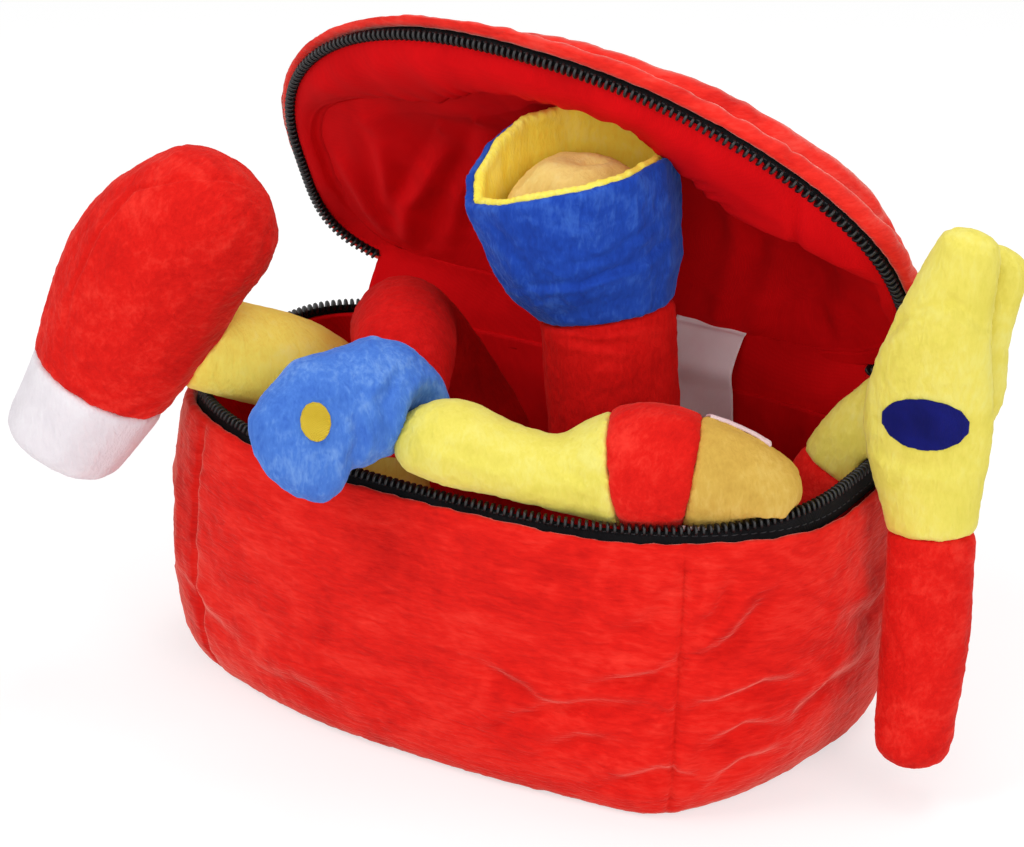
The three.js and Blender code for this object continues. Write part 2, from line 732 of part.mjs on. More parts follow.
const stripeFrom = driverForm.path.getPoint(bandStopShare);
const stripeTo = driverForm.path.getPoint(stripeStopShare);
const stripeRun = stripeTo.clone().sub(stripeFrom);
for (const [side, sign] of [['top', 1], ['bottom', -1]]) {
  const away = stripeAxis.clone().multiplyScalar(sign);
  const start = stripeFrom.clone().addScaledVector(stripeRun, 1 / 2);
  const cutter = prism(start, away, stripeRun, driverGirth * stripeHalfShare, stripeRun.length() / 2 - gap,
    driverGirth * 2, 4);
  addPart(`screwdriver_stripe_${side}`, yieldTo(patchOn(grip, cutter), [collar(gap), ...driverRests]),
    materials.whitePlush);
}

// Wrench: a padded open-jawed head that faces out over the front rim, on a handle bent back into the bag.
// Each row of shares is a place on the head's outline in head widths from its middle, right and up.
const wrenchWidth = 65;
const wrenchThickness = 26;
const wrenchSeat = [-0.164, -1.068, 1.177];
const wrenchOutlineShares = [
  [-0.466, 0.034], [-0.451, -0.121], [-0.403, -0.233], [-0.286, -0.345], [-0.155, -0.398], [-0.063, -0.35],
  [-0.034, -0.252], [0.058, -0.252], [0.15, -0.218], [0.267, -0.204], [0.495, -0.194], [0.534, -0.049],
  [0.495, 0.102], [0.451, 0.175], [0.354, 0.286], [0.17, 0.359], [0.019, 0.316], [-0.214, 0.282],
  [-0.383, 0.131],
];
const pillowShares = [[0, -1], [0.45, -0.93], [0.75, -0.72], [0.93, -0.4], [1, 0], [0.93, 0.4], [0.75, 0.72],
  [0.45, 0.93], [0, 1]];
const wrenchMiddle = seatAt(wrenchSeat);
function wrenchHead(grow) {
  return loft(pillowShares.map(([fit, rise]) => wrenchOutlineShares.map(([x, y]) => {
    const reach = Math.hypot(x, y) * wrenchWidth;
    const scale = (fit * (reach + grow) * wrenchWidth) / reach;
    return wrenchMiddle.clone()
      .addScaledVector(wrenchFace.right, x * scale)
      .addScaledVector(wrenchFace.up, y * scale)
      .addScaledVector(wrenchFace.out, rise * (wrenchThickness / 2 + grow));
  })));
}
const wrenchHandleLength = 120;
const wrenchGirth = 17;
const wrenchHandle = softForm({
  seat: [-0.093, -0.892, 1.116],
  length: wrenchHandleLength,
  girth: wrenchGirth,
  across: new THREE.Vector3(1, 0, 0),
  shares: [
    [0, 0, 0, 0.824],
    [-0.133, 0.267, 0.086, 0.941],
    [-0.291, 0.517, 0.028, 1],
    [-0.265, 0.65, -0.138, 1],
    [-0.151, 0.7, -0.326, 0.941],
    [-0.1, 0.733, -0.52, 0.882],
  ],
});
const bladeGuard = formSpan(driverForm, { to: bandStartShare, startRound: softEndShare, grow: 2 * gap });
const driverGuards = [exitRoom(bladeGuard, driverExit), collar(gap)];
const hammerGuard = formSpan(hammerHandle, { endRound: softEndShare, grow: gap });
const wrenchRests = [bodyGuard, ...driverGuards, hammerGuard, torchGuard];
addPart('wrench_head', yieldTo(wrenchHead(0), wrenchRests), materials.bluePlush);
const wrenchHandleForm = formSpan(wrenchHandle, { endRound: softEndShare });
addPart('wrench_handle', yieldTo(wrenchHandleForm, [wrenchHead(gap), ...wrenchRests]), materials.redPlush);
const spotHalfWidth = 4.4;
const spotHalfHeight = 5.8;
const spotOffsetShare = -0.19;
const spotStart = wrenchMiddle.clone()
  .addScaledVector(wrenchFace.right, spotOffsetShare * wrenchWidth)
  .addScaledVector(wrenchFace.up, spotOffsetShare * spotHalfWidth);
for (const [side, sign] of [['front', 1], ['back', -1]]) {
  const away = wrenchFace.out.clone().multiplyScalar(sign);
  const cutter = prism(spotStart, away, wrenchFace.up, spotHalfWidth, spotHalfHeight, wrenchThickness);
  addPart(`wrench_spot_${side}`, yieldTo(patchOn(wrenchHead, cutter), wrenchRests), materials.yellowPlush);
}

// Zip slider on the end of the body's half, with a pull that hangs inside from a pin between two lugs
const sliderWidth = 6;
const sliderRise = 1.4;
const pinRadius = 0.7;
const pinReach = 2.9;
const lugThickness = 1.1;
const pullWidth = 5;
const pullLength = 20;
const pullThickness = 1.4;
const eyeRadius = 2;
const pinSides = 10;
const sliderAngles = toothAngles.slice(bodyToothAngles.length);
const sliderBlock = loft(sliderAngles.map((angle) => {
  const rim = bodyRimPoint(angle);
  return [
    rim(coilMiddle - sliderWidth / 2, coilHeight),
    rim(coilMiddle - sliderWidth / 2, -sliderRise),
    rim(coilMiddle + sliderWidth / 2, -sliderRise),
    rim(coilMiddle + sliderWidth / 2, coilHeight),
  ];
}));
const sliderRim = bodyRimPoint(sliderAngles[Math.floor(sliderAngles.length / 2)]);
const lugDrop = (coilHeight - sliderRise) / 2;
const pinMiddle = sliderRim(coilMiddle + sliderWidth / 2 + pinReach, lugDrop);
const inward = pinMiddle.clone().sub(sliderRim(coilMiddle, lugDrop)).normalize();
const along = new THREE.Vector3().crossVectors(upward, inward);
const lugSpread = pullWidth / 2 + gap + lugThickness / 2;
const lugs = [-1, 1].map((sign) => prism(
  sliderRim(coilMiddle, lugDrop).addScaledVector(along, sign * lugSpread), inward, upward,
  lugThickness / 2, coilHeight / 2, sliderWidth / 2 + pinReach + coilHeight / 2, 4));
const pin = prism(pinMiddle.clone().addScaledVector(along, -lugSpread), along, upward, pinRadius, pinRadius,
  2 * lugSpread, pinSides);
const sliderSolid = [...lugs, pin].reduce((solid, piece) => solid.add(toSolid(piece)), toSolid(sliderBlock));
addPart('zip_slider', toGeometry(sliderSolid), materials.blackMetal);
const pullStart = pinMiddle.clone().addScaledVector(along, -pullWidth / 2);
const eye = toSolid(prism(pullStart, along, upward, eyeRadius, eyeRadius, pullWidth, pinSides));
const bore = toSolid(prism(pinMiddle.clone().addScaledVector(along, -pullWidth), along, upward,
  pinRadius + gap, pinRadius + gap, 2 * pullWidth, pinSides));
const plateStart = pinMiddle.clone().addScaledVector(upward, -(pinRadius + gap + pullThickness / 4));
const plate = toSolid(prism(plateStart, upward.clone().negate(), inward, pullWidth / 2, pullThickness / 2,
  pullLength, 4));
addPart('zip_pull', toGeometry(eye.subtract(bore).add(plate)), materials.blackMetal);

// The room that the slider and its hanging pull keep from the tools.
const zipGuard = prism(sliderRim(coilMiddle, -sliderRise - gap), upward.clone().negate(), inward,
  lugSpread + lugThickness, sliderWidth + pinReach, pullLength + coilHeight + pinReach, 4);

// Pliers: two flat padded halves side by side on a pivot, astride the bag's right end
const pliersLength = 180;
const pliersInnerLength = 120;
const pliersGirth = 20;
const pliersAxis = new THREE.Vector3(0.27, -0.96, 0).normalize();
const outerHalf = softForm({
  seat: [1.188, -0.081, 0.179],
  length: pliersLength,
  girth: pliersGirth,
  across: pliersAxis,
  shares: [
    [0, 0, 0, 0.575, 0.575],
    [-0.009, 0.044, 0.181, 0.675, 0.6],
    [-0.021, 0.067, 0.373, 0.675, 0.525],
    [-0.039, 0.061, 0.568, 1, 0.4],
    [-0.015, 0.033, 0.747, 0.725, 0.4],
    [0.018, 0.039, 0.896, 0.475, 0.35],
  ],
});
const innerHalf = softForm({
  seat: [0.725, 0.216, 0.602],
  length: pliersInnerLength,
  girth: pliersGirth,
  across: pliersAxis,
  shares: [
    [0, 0, 0, 0.65, 0.6],
    [0.099, 0.017, 0.21, 0.7, 0.5],
    [0.198, 0.033, 0.376, 0.725, 0.425],
    [0.364, 0.039, 0.504, 0.95, 0.4],
    [0.444, 0.008, 0.73, 0.675, 0.4],
    [0.52, 0.008, 0.912, 0.45, 0.35],
  ],
});
const outerSeamShare = 0.4;
const innerSeamShare = 0.26;
const pivotShare = 0.6;
const outerJaw = (grow) => formSpan(outerHalf, { from: outerSeamShare, endRound: softEndShare, grow });
const innerJaw = (grow) => formSpan(innerHalf, { from: innerSeamShare, endRound: softEndShare, grow });
const outerGrip = (grow) => formSpan(outerHalf, { to: outerSeamShare, startRound: softEndShare, grow });
const innerGrip = formSpan(innerHalf, { to: innerSeamShare, startRound: softEndShare });
const outerGuards = [outerJaw(gap), outerGrip(gap)];
const handleGuard = grip(gap + patchCloth + gap);
addPart('pliers_outer_jaw', yieldTo(outerJaw(0), [bodyGuard]), materials.yellowPlush);
addPart('pliers_outer_grip', yieldTo(outerGrip(0), [bodyGuard]), materials.redPlush);
const innerRests = [bodyGuard, zipGuard, ...outerGuards, handleGuard];
addPart('pliers_inner_jaw', yieldTo(innerJaw(0), innerRests), materials.yellowPlush);
addPart('pliers_inner_grip', yieldTo(innerGrip, innerRests), materials.redPlush);
const padHalfWidth = 13;
const padHalfHeight = 8.5;
const padRise = 3.5;
const padSides = [['front', outerHalf, outerJaw, 1], ['back', innerHalf, innerJaw, -1]];
for (const [side, half, jaw, sign] of padSides) {
  const pivot = half.path.getPoint(pivotShare).addScaledVector(upward, padRise);
  const cutter = prism(pivot, pliersAxis.clone().multiplyScalar(sign), upward, padHalfWidth, padHalfHeight,
    pliersGirth);
  addPart(`pliers_pad_${side}`, patchOn(jaw, cutter), materials.navyCloth);
}

// Hinge seam: a padded bead between the back edges of body and lid
const seamHalfLength = 74;
const seamStart = new THREE.Vector3(-seamHalfLength, hingeY, hingeZ);
addPart('hinge_seam', prism(seamStart, new THREE.Vector3(1, 0, 0), upward, seamRadius, seamRadius,
  2 * seamHalfLength), materials.redPlush);

// Care label: a blank strip sewn by its top to the lid's lining, hanging over the hinge into the bag
const labelWidth = 26;
const labelMiddle = 36;
const labelCloth = 0.8;
const labelDrop = 16;
const labelStand = 1.6;
const labelLidShares = [1.6, 1, 0.45];
const labelBagShares = [-0.25, 0.25, 0.6, 1];
function labelEdge(x) {
  const angle = angleAtWidth(x, false);
  const inset = liningInset + liningCloth + gap + labelCloth / 2;
  const onLid = labelLidShares.map((share) => lidPoint(angle, inset, liningHem * share));
  const inBag = labelBagShares.map((share) => (
    wallPoint(angle, inset + labelStand, rimAt(angle) - labelDrop * share)
  ));
  return [...onLid, ...inBag].map(({ y, z }) => new THREE.Vector3(x, y, z));
}
const labelLeft = labelEdge(labelMiddle - labelWidth / 2);
const labelRight = labelEdge(labelMiddle + labelWidth / 2);
const labelLoops = labelLeft.map((left, i) => {
  const ahead = labelLeft[Math.min(i + 1, labelLeft.length - 1)].clone().sub(labelLeft[Math.max(i - 1, 0)]);
  const half = new THREE.Vector3(0, -ahead.z, ahead.y).setLength(labelCloth / 2);
  const right = labelRight[i];
  return [left.clone().add(half), right.clone().add(half), right.clone().sub(half), left.clone().sub(half)];
});
const labelStrip = loft(labelLoops, { cap: 'strip' });
addPart('care_label', yieldTo(labelStrip, [lidGuard, bodyGuard]), materials.labelSatin);

export default toolBag;
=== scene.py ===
import math

import bmesh
import bpy
import numpy as np
from mathutils import Matrix, Vector


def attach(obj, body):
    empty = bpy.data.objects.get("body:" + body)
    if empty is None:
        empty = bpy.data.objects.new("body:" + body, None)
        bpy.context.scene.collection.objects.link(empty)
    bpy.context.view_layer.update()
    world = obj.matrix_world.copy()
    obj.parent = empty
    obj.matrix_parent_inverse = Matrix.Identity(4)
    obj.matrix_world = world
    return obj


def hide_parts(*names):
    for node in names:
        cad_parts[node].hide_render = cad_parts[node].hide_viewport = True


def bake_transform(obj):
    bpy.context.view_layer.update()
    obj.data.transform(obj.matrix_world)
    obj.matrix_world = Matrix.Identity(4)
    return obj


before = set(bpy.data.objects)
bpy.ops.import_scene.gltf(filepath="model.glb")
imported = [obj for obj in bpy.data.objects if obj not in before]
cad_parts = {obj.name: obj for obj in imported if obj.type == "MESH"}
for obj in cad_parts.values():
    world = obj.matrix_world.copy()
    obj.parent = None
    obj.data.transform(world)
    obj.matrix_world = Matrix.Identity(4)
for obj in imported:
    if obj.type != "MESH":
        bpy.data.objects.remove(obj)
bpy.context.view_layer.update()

# The looks of a soft toy tool bag. Lengths are in millimetres until a mesh is made.
MM = 0.001

# ------------ the bag's sizes, as in the solids
HALF_WIDTH, FRONT_DEPTH, BACK_DEPTH, RIM_HEIGHT = 119.0, 74.0, 60.0, 100.0
LID_HEIGHT, LID_LEAN, LID_CROWN, CROWN_LEAN = 10.8, 4.2, 12.0, 1.0
LID_OPEN, LID_TWIST = math.radians(59.5), math.radians(5.4)
LID_BOW, LID_BOW_SPREAD = 0.05, 2.6
GAP, PLUSH, LINING_CLOTH = 0.3, 4.0, 1.2
FRONT_CORNER, BACK_CORNER = 2.7, 4.0
FRONT_SAG, LEFT_SAG = 4.5, 2.0
FOOT_SWAY, FOOT_INSET, FOOT_ROUND, BELLY, RIM_INSET = 4.0, 6.0, 7.0, 2.5, 2.0
ZIP_END_WIDTH, SEAM_WIDTH = 97.0, 88.0
TAPE_INSET = PLUSH + GAP + GAP / 2
TAPE_THICKNESS, TAPE_DEPTH, LID_TAPE_DEPTH = 1.1, 10.0, 5.6
COIL_HEIGHT, COIL_WIDTH = 3.2, 3.6
COIL_MIDDLE = TAPE_INSET + TAPE_THICKNESS / 2
LINING_INSET = TAPE_INSET + TAPE_THICKNESS + GAP + GAP / 2
FRONT_EDGE_DROP, END_EDGE_DROP = 3.6, 8.0
SEAM_RADIUS, HINGE_SETBACK, LID_BELLY, CROWN_ROUND = 3.0, 2.8, 1.0, 6.0
HINGE_Y = BACK_DEPTH - HINGE_SETBACK
HINGE_Z = RIM_HEIGHT - FRONT_EDGE_DROP + GAP + SEAM_RADIUS
LID_BACK = HINGE_Y - SEAM_RADIUS - GAP
LINING_HEM = 5.0


def plan(angle, inset=0.0, back=BACK_DEPTH):
    """The plan curve drawn in by inset, at angles about the bag's middle."""
    c, s = np.cos(angle), np.sin(angle)
    front = s < 0
    depth = np.where(front, FRONT_DEPTH, back)
    power = 2 / np.where(front, FRONT_CORNER, BACK_CORNER)
    x = np.sign(c) * (HALF_WIDTH - inset) * np.abs(c) ** power
    y = np.sign(s) * (depth - inset) * np.abs(s) ** power
    return x, y


def angle_at_width(width, front):
    power = (FRONT_CORNER if front else BACK_CORNER) / 2
    angle = math.acos(math.copysign((abs(width) / HALF_WIDTH) ** power, width))
    return -angle if front else angle

TURN_START, FRONT_MIDDLE, TURN_STOP = -1.5 * math.pi, -0.5 * math.pi, 0.5 * math.pi
FINE_STEPS = 6000


def run_of(points):
    """Distance along a fine row of plan points, from its first."""
    x, y = points
    return np.concatenate([[0], np.cumsum(np.hypot(np.diff(x), np.diff(y)))])


def even_angles(count):
    """Angles that cut the plan into equal lengths, from the back's middle round by the left."""
    fine = np.linspace(TURN_START, TURN_STOP, FINE_STEPS + 1)
    run = run_of(plan(fine))
    return np.interp(np.linspace(0, run[-1], count + 1)[:count], run, fine)


def run_along(angle):
    """Distance round the plan from the front's middle, positive to the right."""
    fine = np.linspace(TURN_START, TURN_STOP, 2 * FINE_STEPS + 1)
    run = run_of(plan(fine))
    turned = (np.asarray(angle) - TURN_START) % (2 * math.pi) + TURN_START
    return np.interp(turned, fine, run) - np.interp(FRONT_MIDDLE, fine, run)


def rim_at(angle):
    front = np.maximum(0, -np.sin(angle)) ** 2
    left = np.maximum(0, -np.cos(angle)) ** 4 * (1 - np.maximum(0, np.sin(angle)))
    return RIM_HEIGHT - FRONT_SAG * front - LEFT_SAG * left


def edge_drop(angle):
    return FRONT_EDGE_DROP + (END_EDGE_DROP - FRONT_EDGE_DROP) * np.abs(np.cos(angle)) ** 6


def wall_inset(height):
    share = height / RIM_HEIGHT
    sway = BELLY * np.sin(math.pi * np.clip(share, 0, 1))
    return FOOT_INSET * np.exp(-height / FOOT_ROUND) - sway + RIM_INSET * share**6


def wall_point(angle, inset, height):
    angle, inset, height = np.broadcast_arrays(*map(np.asarray, (angle, inset, height)))
    x, y = plan(angle, wall_inset(height) + inset)
    return np.stack([x - FOOT_SWAY * (1 - height / RIM_HEIGHT), y, height + 0.0], -1)


def rim_point(angle, inset, drop):
    return wall_point(angle, inset, rim_at(angle) - drop)


def lid_place(x, y, height):
    turn = LID_OPEN - LID_TWIST * x / HALF_WIDTH
    reach = (HINGE_Y - y) * (1 + LID_BOW * (1 - LID_BOW_SPREAD * (x / HALF_WIDTH) ** 2))
    across = HINGE_Y - reach * np.cos(turn) + height * np.sin(turn)
    return np.stack([x, across, HINGE_Z + reach * np.sin(turn) + height * np.cos(turn)], -1)


def lid_height_at(angle):
    return LID_HEIGHT + LID_LEAN * np.cos(angle)


def lid_point(angle, inset, height, reach=1.0):
    angle, inset, height, reach = np.broadcast_arrays(*map(np.asarray, (angle, inset, height, reach)))
    share = np.clip(height / lid_height_at(angle), 0, 1)
    drawn = CROWN_ROUND * share**4 - LID_BELLY * np.sin(math.pi * share)
    x, y = plan(angle, drawn + inset, LID_BACK)
    return lid_place(x * reach, y * reach, height + 0.0)


def crown_height(angle, reach):
    edge = LID_HEIGHT + (lid_height_at(angle) - LID_HEIGHT) * reach
    lean = 1 + CROWN_LEAN * reach * plan(angle)[0] / HALF_WIDTH
    return edge + GAP + LID_CROWN * lean * (1 - reach**2.2)


# ------------ noise, meshes and sculpting

def lattice(cell, seed):
    """A fixed value from -1 to 1 for each cell of a grid."""
    big = np.uint64(0xFFFFFFFF)
    n = cell.astype(np.int64).astype(np.uint64)
    h = (n[:, 0] * np.uint64(374761393) + n[:, 1] * np.uint64(668265263)
         + n[:, 2] * np.uint64(2246822519) + np.uint64(seed * 3266489917 % 2**32)) & big
    h = ((h ^ (h >> np.uint64(15))) * np.uint64(2246822519)) & big
    h = ((h ^ (h >> np.uint64(13))) * np.uint64(3266489917)) & big
    return ((h ^ (h >> np.uint64(16))) & np.uint64(0xFFFF)).astype(float) / 32767.5 - 1


def noise(points, size, seed):
    """Smooth noise from -1 to 1 whose features are about size apart."""
    p = np.asarray(points) / np.asarray(size) + 1000.5
    cell = np.floor(p)
    f = p - cell
    f = f * f * f * (f * (f * 6 - 15) + 10)
    total = np.zeros(len(p))
    for corner in range(8):
        step = np.array([corner & 1, corner >> 1 & 1, corner >> 2 & 1])
        weight = np.prod(np.where(step, f, 1 - f), axis=1)
        total += weight * lattice(cell + step, seed)
    return total


def grid_faces(rows, cols, wrap=True):
    """Faces between rows of corners, each row a ring unless wrap is false."""
    r, c = np.meshgrid(np.arange(rows - 1), np.arange(cols if wrap else cols - 1), indexing="ij")
    ahead = (c + 1) % cols
    quads = np.stack([r * cols + c, r * cols + ahead, (r + 1) * cols + ahead, (r + 1) * cols + c], -1)
    return quads.reshape(-1, 4).tolist()


def capped(rows, cols):
    """Faces of a tube of rings, with both end rings filled."""
    last = (rows - 1) * cols
    return grid_faces(rows, cols) + [list(range(cols))[::-1], list(range(last, last + cols))]


def repeated(faces, count):
    """Faces of many like pieces, whose corners follow one another."""
    corners = 1 + max(max(face) for face in faces)
    return [[i * corners + corner for corner in face] for i in range(count) for face in faces]


def link(name, data):
    """A new object in the scene."""
    obj = bpy.data.objects.new(name, data)
    bpy.context.scene.collection.objects.link(obj)
    return obj


def make(name, points, faces, body, material, nodes=()):
    """A piece from points in millimetres; it rides on a body and stands for solids."""
    mesh = bpy.data.meshes.new(name)
    mesh.from_pydata((np.asarray(points).reshape(-1, 3) * MM).tolist(), [], faces)
    work = bmesh.new()
    work.from_mesh(mesh)
    bmesh.ops.recalc_face_normals(work, faces=work.faces)
    work.to_mesh(mesh)
    work.free()
    mesh.shade_smooth()
    obj = link(name, mesh)
    mesh.materials.append(material)
    if body:
        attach(obj, body)
    if nodes:
        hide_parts(*nodes)
    return obj


def corners_of(obj):
    co = np.empty(len(obj.data.vertices) * 3)
    obj.data.vertices.foreach_get("co", co)
    return co.reshape(-1, 3) / MM


def normals_of(obj):
    n = np.empty(len(obj.data.vertices) * 3, np.float32)
    obj.data.vertices.foreach_get("normal", n)
    return n.reshape(-1, 3).astype(float)


def move_to(obj, points):
    obj.data.vertices.foreach_set("co", (np.asarray(points) * MM).ravel())
    obj.data.update()


def edge_ends(obj):
    edges = np.empty(len(obj.data.edges) * 2, np.int64)
    obj.data.edges.foreach_get("vertices", edges)
    return edges.reshape(-1, 2).T


def smooth_mesh(obj, rounds):
    """Rounds a mesh off by its edges."""
    a, b = edge_ends(obj)
    p = corners_of(obj)
    count = np.maximum(np.bincount(np.concatenate([a, b]), minlength=len(p)), 1)[:, None]
    for _ in range(rounds):
        total = np.zeros_like(p)
        for k in range(3):
            total[:, k] = np.bincount(a, p[b, k], len(p)) + np.bincount(b, p[a, k], len(p))
        p = p + 0.5 * (total / count - p)
    move_to(obj, p)


def unit(vectors):
    return vectors / np.linalg.norm(vectors, axis=1)[:, None]


def bell(distance, width):
    """1 at no distance, falling off smoothly about a width away."""
    return np.exp(-((distance / width) ** 2))


def along_normals(obj, offset):
    move_to(obj, corners_of(obj) + normals_of(obj) * np.asarray(offset)[:, None])


def pile(obj, depth, lumps, seed):
    """Short pile: fine tufts over slow swells."""
    p = corners_of(obj)
    offset = depth * noise(p, 1.7, seed) + 0.8 * depth * noise(p, 2.9, seed + 1)
    offset += lumps * noise(p, 15, seed + 2) + 0.5 * lumps * noise(p, 7, seed + 3)
    along_normals(obj, offset)


def line_distance(points, line):
    """Distance of points to a line of points, the place along it from 0 to 1, and the side."""
    line = np.asarray(line, float)
    best = np.full(len(points), 1e9)
    place, side = np.zeros(len(points)), np.zeros(len(points))
    spans = len(line) - 1
    for i in range(spans):
        a, d = line[i], line[i + 1] - line[i]
        t = np.clip(((points - a) @ d) / max(d @ d, 1e-9), 0, 1)
        off = points - a - t[:, None] * d
        dist = np.linalg.norm(off, axis=1)
        near = dist < best
        best = np.where(near, dist, best)
        place = np.where(near, (i + t) / spans, place)
        if line.shape[1] == 2:
            side = np.where(near, np.sign(off[:, 1] * d[0] - off[:, 0] * d[1]), side)
    return best, place, side


def crease(points, line, width, depth, ridge, away=1.6, broad=1.1):
    """A fold in a padded wall: a valley along the line with a swell on its left side."""
    dist, place, side = line_distance(points, line)
    fade = np.sin(math.pi * np.clip(place, 0.03, 0.97)) ** 0.5
    return (ridge * bell(side * dist - away * width, broad * width) - depth * bell(dist, width)) * fade


# ------------ materials

def give(node, **values):
    """Sets a node's inputs, an underscore for each space of a name, or its own settings."""
    for key, value in values.items():
        socket = node.inputs.get(key.replace("_", " "))
        if socket is None:
            setattr(node, key, value)
        else:
            socket.default_value = value
    return node


def add(tree, kind, **values):
    return give(tree.nodes.new(kind), **values)


def nodes_of(name, roughness, specular):
    """A new material, its tree and shader, and the coordinates of the piece itself."""
    material = bpy.data.materials.new(name)
    material.use_nodes = True
    tree = material.node_tree
    shader = give(tree.nodes["Principled BSDF"], Roughness=roughness, Specular_IOR_Level=specular)
    return material, tree, shader, add(tree, "ShaderNodeTexCoord").outputs["Object"]


def mapped(tree, source, node, **values):
    """Feeds a texture node coordinates that are turned or stretched."""
    mapping = add(tree, "ShaderNodeMapping", **values)
    tree.links.new(source, mapping.inputs["Vector"])
    tree.links.new(mapping.outputs["Vector"], node.inputs["Vector"])
    return node.outputs["Fac"]


def noise_node(tree, source, scale, stretch=(1, 1, 1), turn=(0, 0, 0), detail=3.0, distortion=0.0):
    node = add(tree, "ShaderNodeTexNoise", Scale=scale, Detail=detail, Roughness=0.6, Distortion=distortion)
    return mapped(tree, source, node, Scale=stretch, Rotation=turn)


def math_node(tree, operation, a, b):
    node = add(tree, "ShaderNodeMath", operation=operation)
    for socket, value in zip(node.inputs, (a, b)):
        if isinstance(value, (int, float)):
            socket.default_value = value
        else:
            tree.links.new(value, socket)
    return node.outputs["Value"]


def weighted(tree, *parts):
    """The sum of outputs, each times its share."""
    total = 0.0
    for output, share in parts:
        total = math_node(tree, "ADD", total, math_node(tree, "MULTIPLY", output, share))
    return total


def srgb(colour):
    """A colour of 0 to 255 as Blender's linear one."""
    shares = [v / 255 for v in colour]
    return (*(v / 12.92 if v <= 0.04045 else ((v + 0.055) / 1.055) ** 2.4 for v in shares), 1)


def ramp_node(tree, source, *stops):
    """A colour ramp through stops, each a place and a colour."""
    ramp = add(tree, "ShaderNodeValToRGB")
    elements = ramp.color_ramp.elements
    for element, (place, colour) in zip(elements, (stops[0], stops[-1])):
        element.position, element.color = place, colour
    for place, colour in stops[1:-1]:
        elements.new(place).color = colour
    tree.links.new(source, ramp.inputs["Fac"])
    return ramp.outputs["Color"]


def dress(tree, shader, colour, height, strength, distance):
    """Gives a shader its colour and its fine relief."""
    tree.links.new(colour, shader.inputs["Base Color"])
    bump = add(tree, "ShaderNodeBump", Strength=strength, Distance=distance)
    tree.links.new(height, bump.inputs["Height"])
    tree.links.new(bump.outputs["Normal"], shader.inputs["Normal"])


def plush(name, dark, middle, light, sheen, nap=(1, 1, 0.35), turn=(0, 0, 0), tint=None, spread=0.22):
    """Short brushed pile: patches that lie one way or the other, fine streaks along the nap, and tufts."""
    material, tree, shader, source = nodes_of(name, 0.9, 0.12)
    patches = noise_node(tree, source, 26, (1, 1, 1.6), turn, 3, 1.4)
    streaks = noise_node(tree, source, 330, nap, turn, 3, 0.8)
    tufts = noise_node(tree, source, 900, nap, turn, 2)
    mixed = weighted(tree, (patches, 0.5), (streaks, 0.3), (tufts, 0.2))
    colour = ramp_node(tree, mixed, (0.5 - spread, srgb(dark)), (0.5, srgb(middle)),
                       (0.5 + spread, srgb(light)))
    dress(tree, shader, colour, weighted(tree, (streaks, 0.6), (tufts, 0.5)), 0.55, 0.0011)
    give(shader, Sheen_Weight=sheen, Sheen_Roughness=0.35, Sheen_Tint=srgb(tint or light))
    return material


def cloth(name, dark, light, thread, roughness, sheen, strength, patch=30, gloss=0.25):
    """Woven cloth: two crossing sets of threads over slow changes of colour."""
    material, tree, shader, source = nodes_of(name, roughness, gloss)
    waves = [mapped(tree, source, add(tree, "ShaderNodeTexWave", Scale=thread, Distortion=1.5), Rotation=turn)
             for turn in ((0.0, 0.0, 0.6), (1.3, 0.4, 0.0))]
    weave = math_node(tree, "MULTIPLY", *waves)
    patches = noise_node(tree, source, patch, distortion=0.7)
    mixed = weighted(tree, (weave, 0.2), (patches, 0.9))
    colour = ramp_node(tree, mixed, (0.32, srgb(dark)), (0.72, srgb(light)))
    dress(tree, shader, colour, weave, strength, 0.0004)
    give(shader, Sheen_Weight=sheen, Sheen_Roughness=0.4, Sheen_Tint=srgb(light))
    return material


def hard(name, colour, roughness, metallic):
    """Moulded nylon or painted metal: slight unevenness in gloss and a fine bump."""
    material, tree, shader, source = nodes_of(name, roughness, 0.5)
    give(shader, Metallic=metallic)
    spots = noise_node(tree, source, 400)
    light = srgb(colour)
    dark = tuple(0.7 * c for c in light[:3]) + (1,)
    dress(tree, shader, ramp_node(tree, spots, (0.35, dark), (0.7, light)), spots, 0.2, 0.0002)
    tree.links.new(weighted(tree, (spots, 0.3), (roughness - 0.15, 1.0)), shader.inputs["Roughness"])
    return material


RED = plush("red_plush", (192, 12, 10), (226, 28, 20), (246, 56, 44), nap=(0.28, 0.28, 1.2), sheen=0.85,
            tint=(255, 165, 150), spread=0.19)
# The lid's red is the bag's plush painted lighter: painted light where the lid's top catches the lamps from
# above.
LID_RED_PAINTED_LIGHT = plush("lid_red_painted_light_plush", (204, 20, 16), (238, 44, 34), (250, 78, 66), nap=(0.28, 0.28, 1.2),
                sheen=1.0, tint=(255, 190, 178), spread=0.19)
RED_TOY = plush("red_toy_plush", (194, 14, 11), (222, 27, 20), (246, 58, 46), nap=(1, 0.4, 0.8),
                turn=(0.3, 0.5, 0), sheen=0.35, tint=(255, 130, 115), spread=0.2)
# A darker red for the torch's and wrench's handles: partly their own smoother cloth, partly painted shade.
RED_SATIN_AND_SHADE = plush("red_satin_and_shade_plush", (176, 9, 9), (204, 14, 12), (228, 28, 24), nap=(1, 1, 0.5),
                  sheen=0.12, tint=(255, 90, 80))
LINING = cloth("red_lining", (200, 4, 12), (230, 10, 18), 700, 0.85, 0.04, 0.2, gloss=0.08)
WHITE = plush("white_plush", (226, 220, 226), (236, 230, 235), (243, 240, 243), sheen=0.05)
YELLOW = plush("yellow_plush", (220, 206, 80), (234, 220, 100), (241, 233, 134), sheen=0.25,
               tint=(255, 250, 205))
# The hammer's handle is the gold plush painted brighter: painted light that makes up for the shade under the
# hammer's head.
HANDLE_PAINTED_LIGHT = plush("handle_painted_light_plush", (248, 218, 84), (255, 238, 108), (255, 244, 146), sheen=0.2)
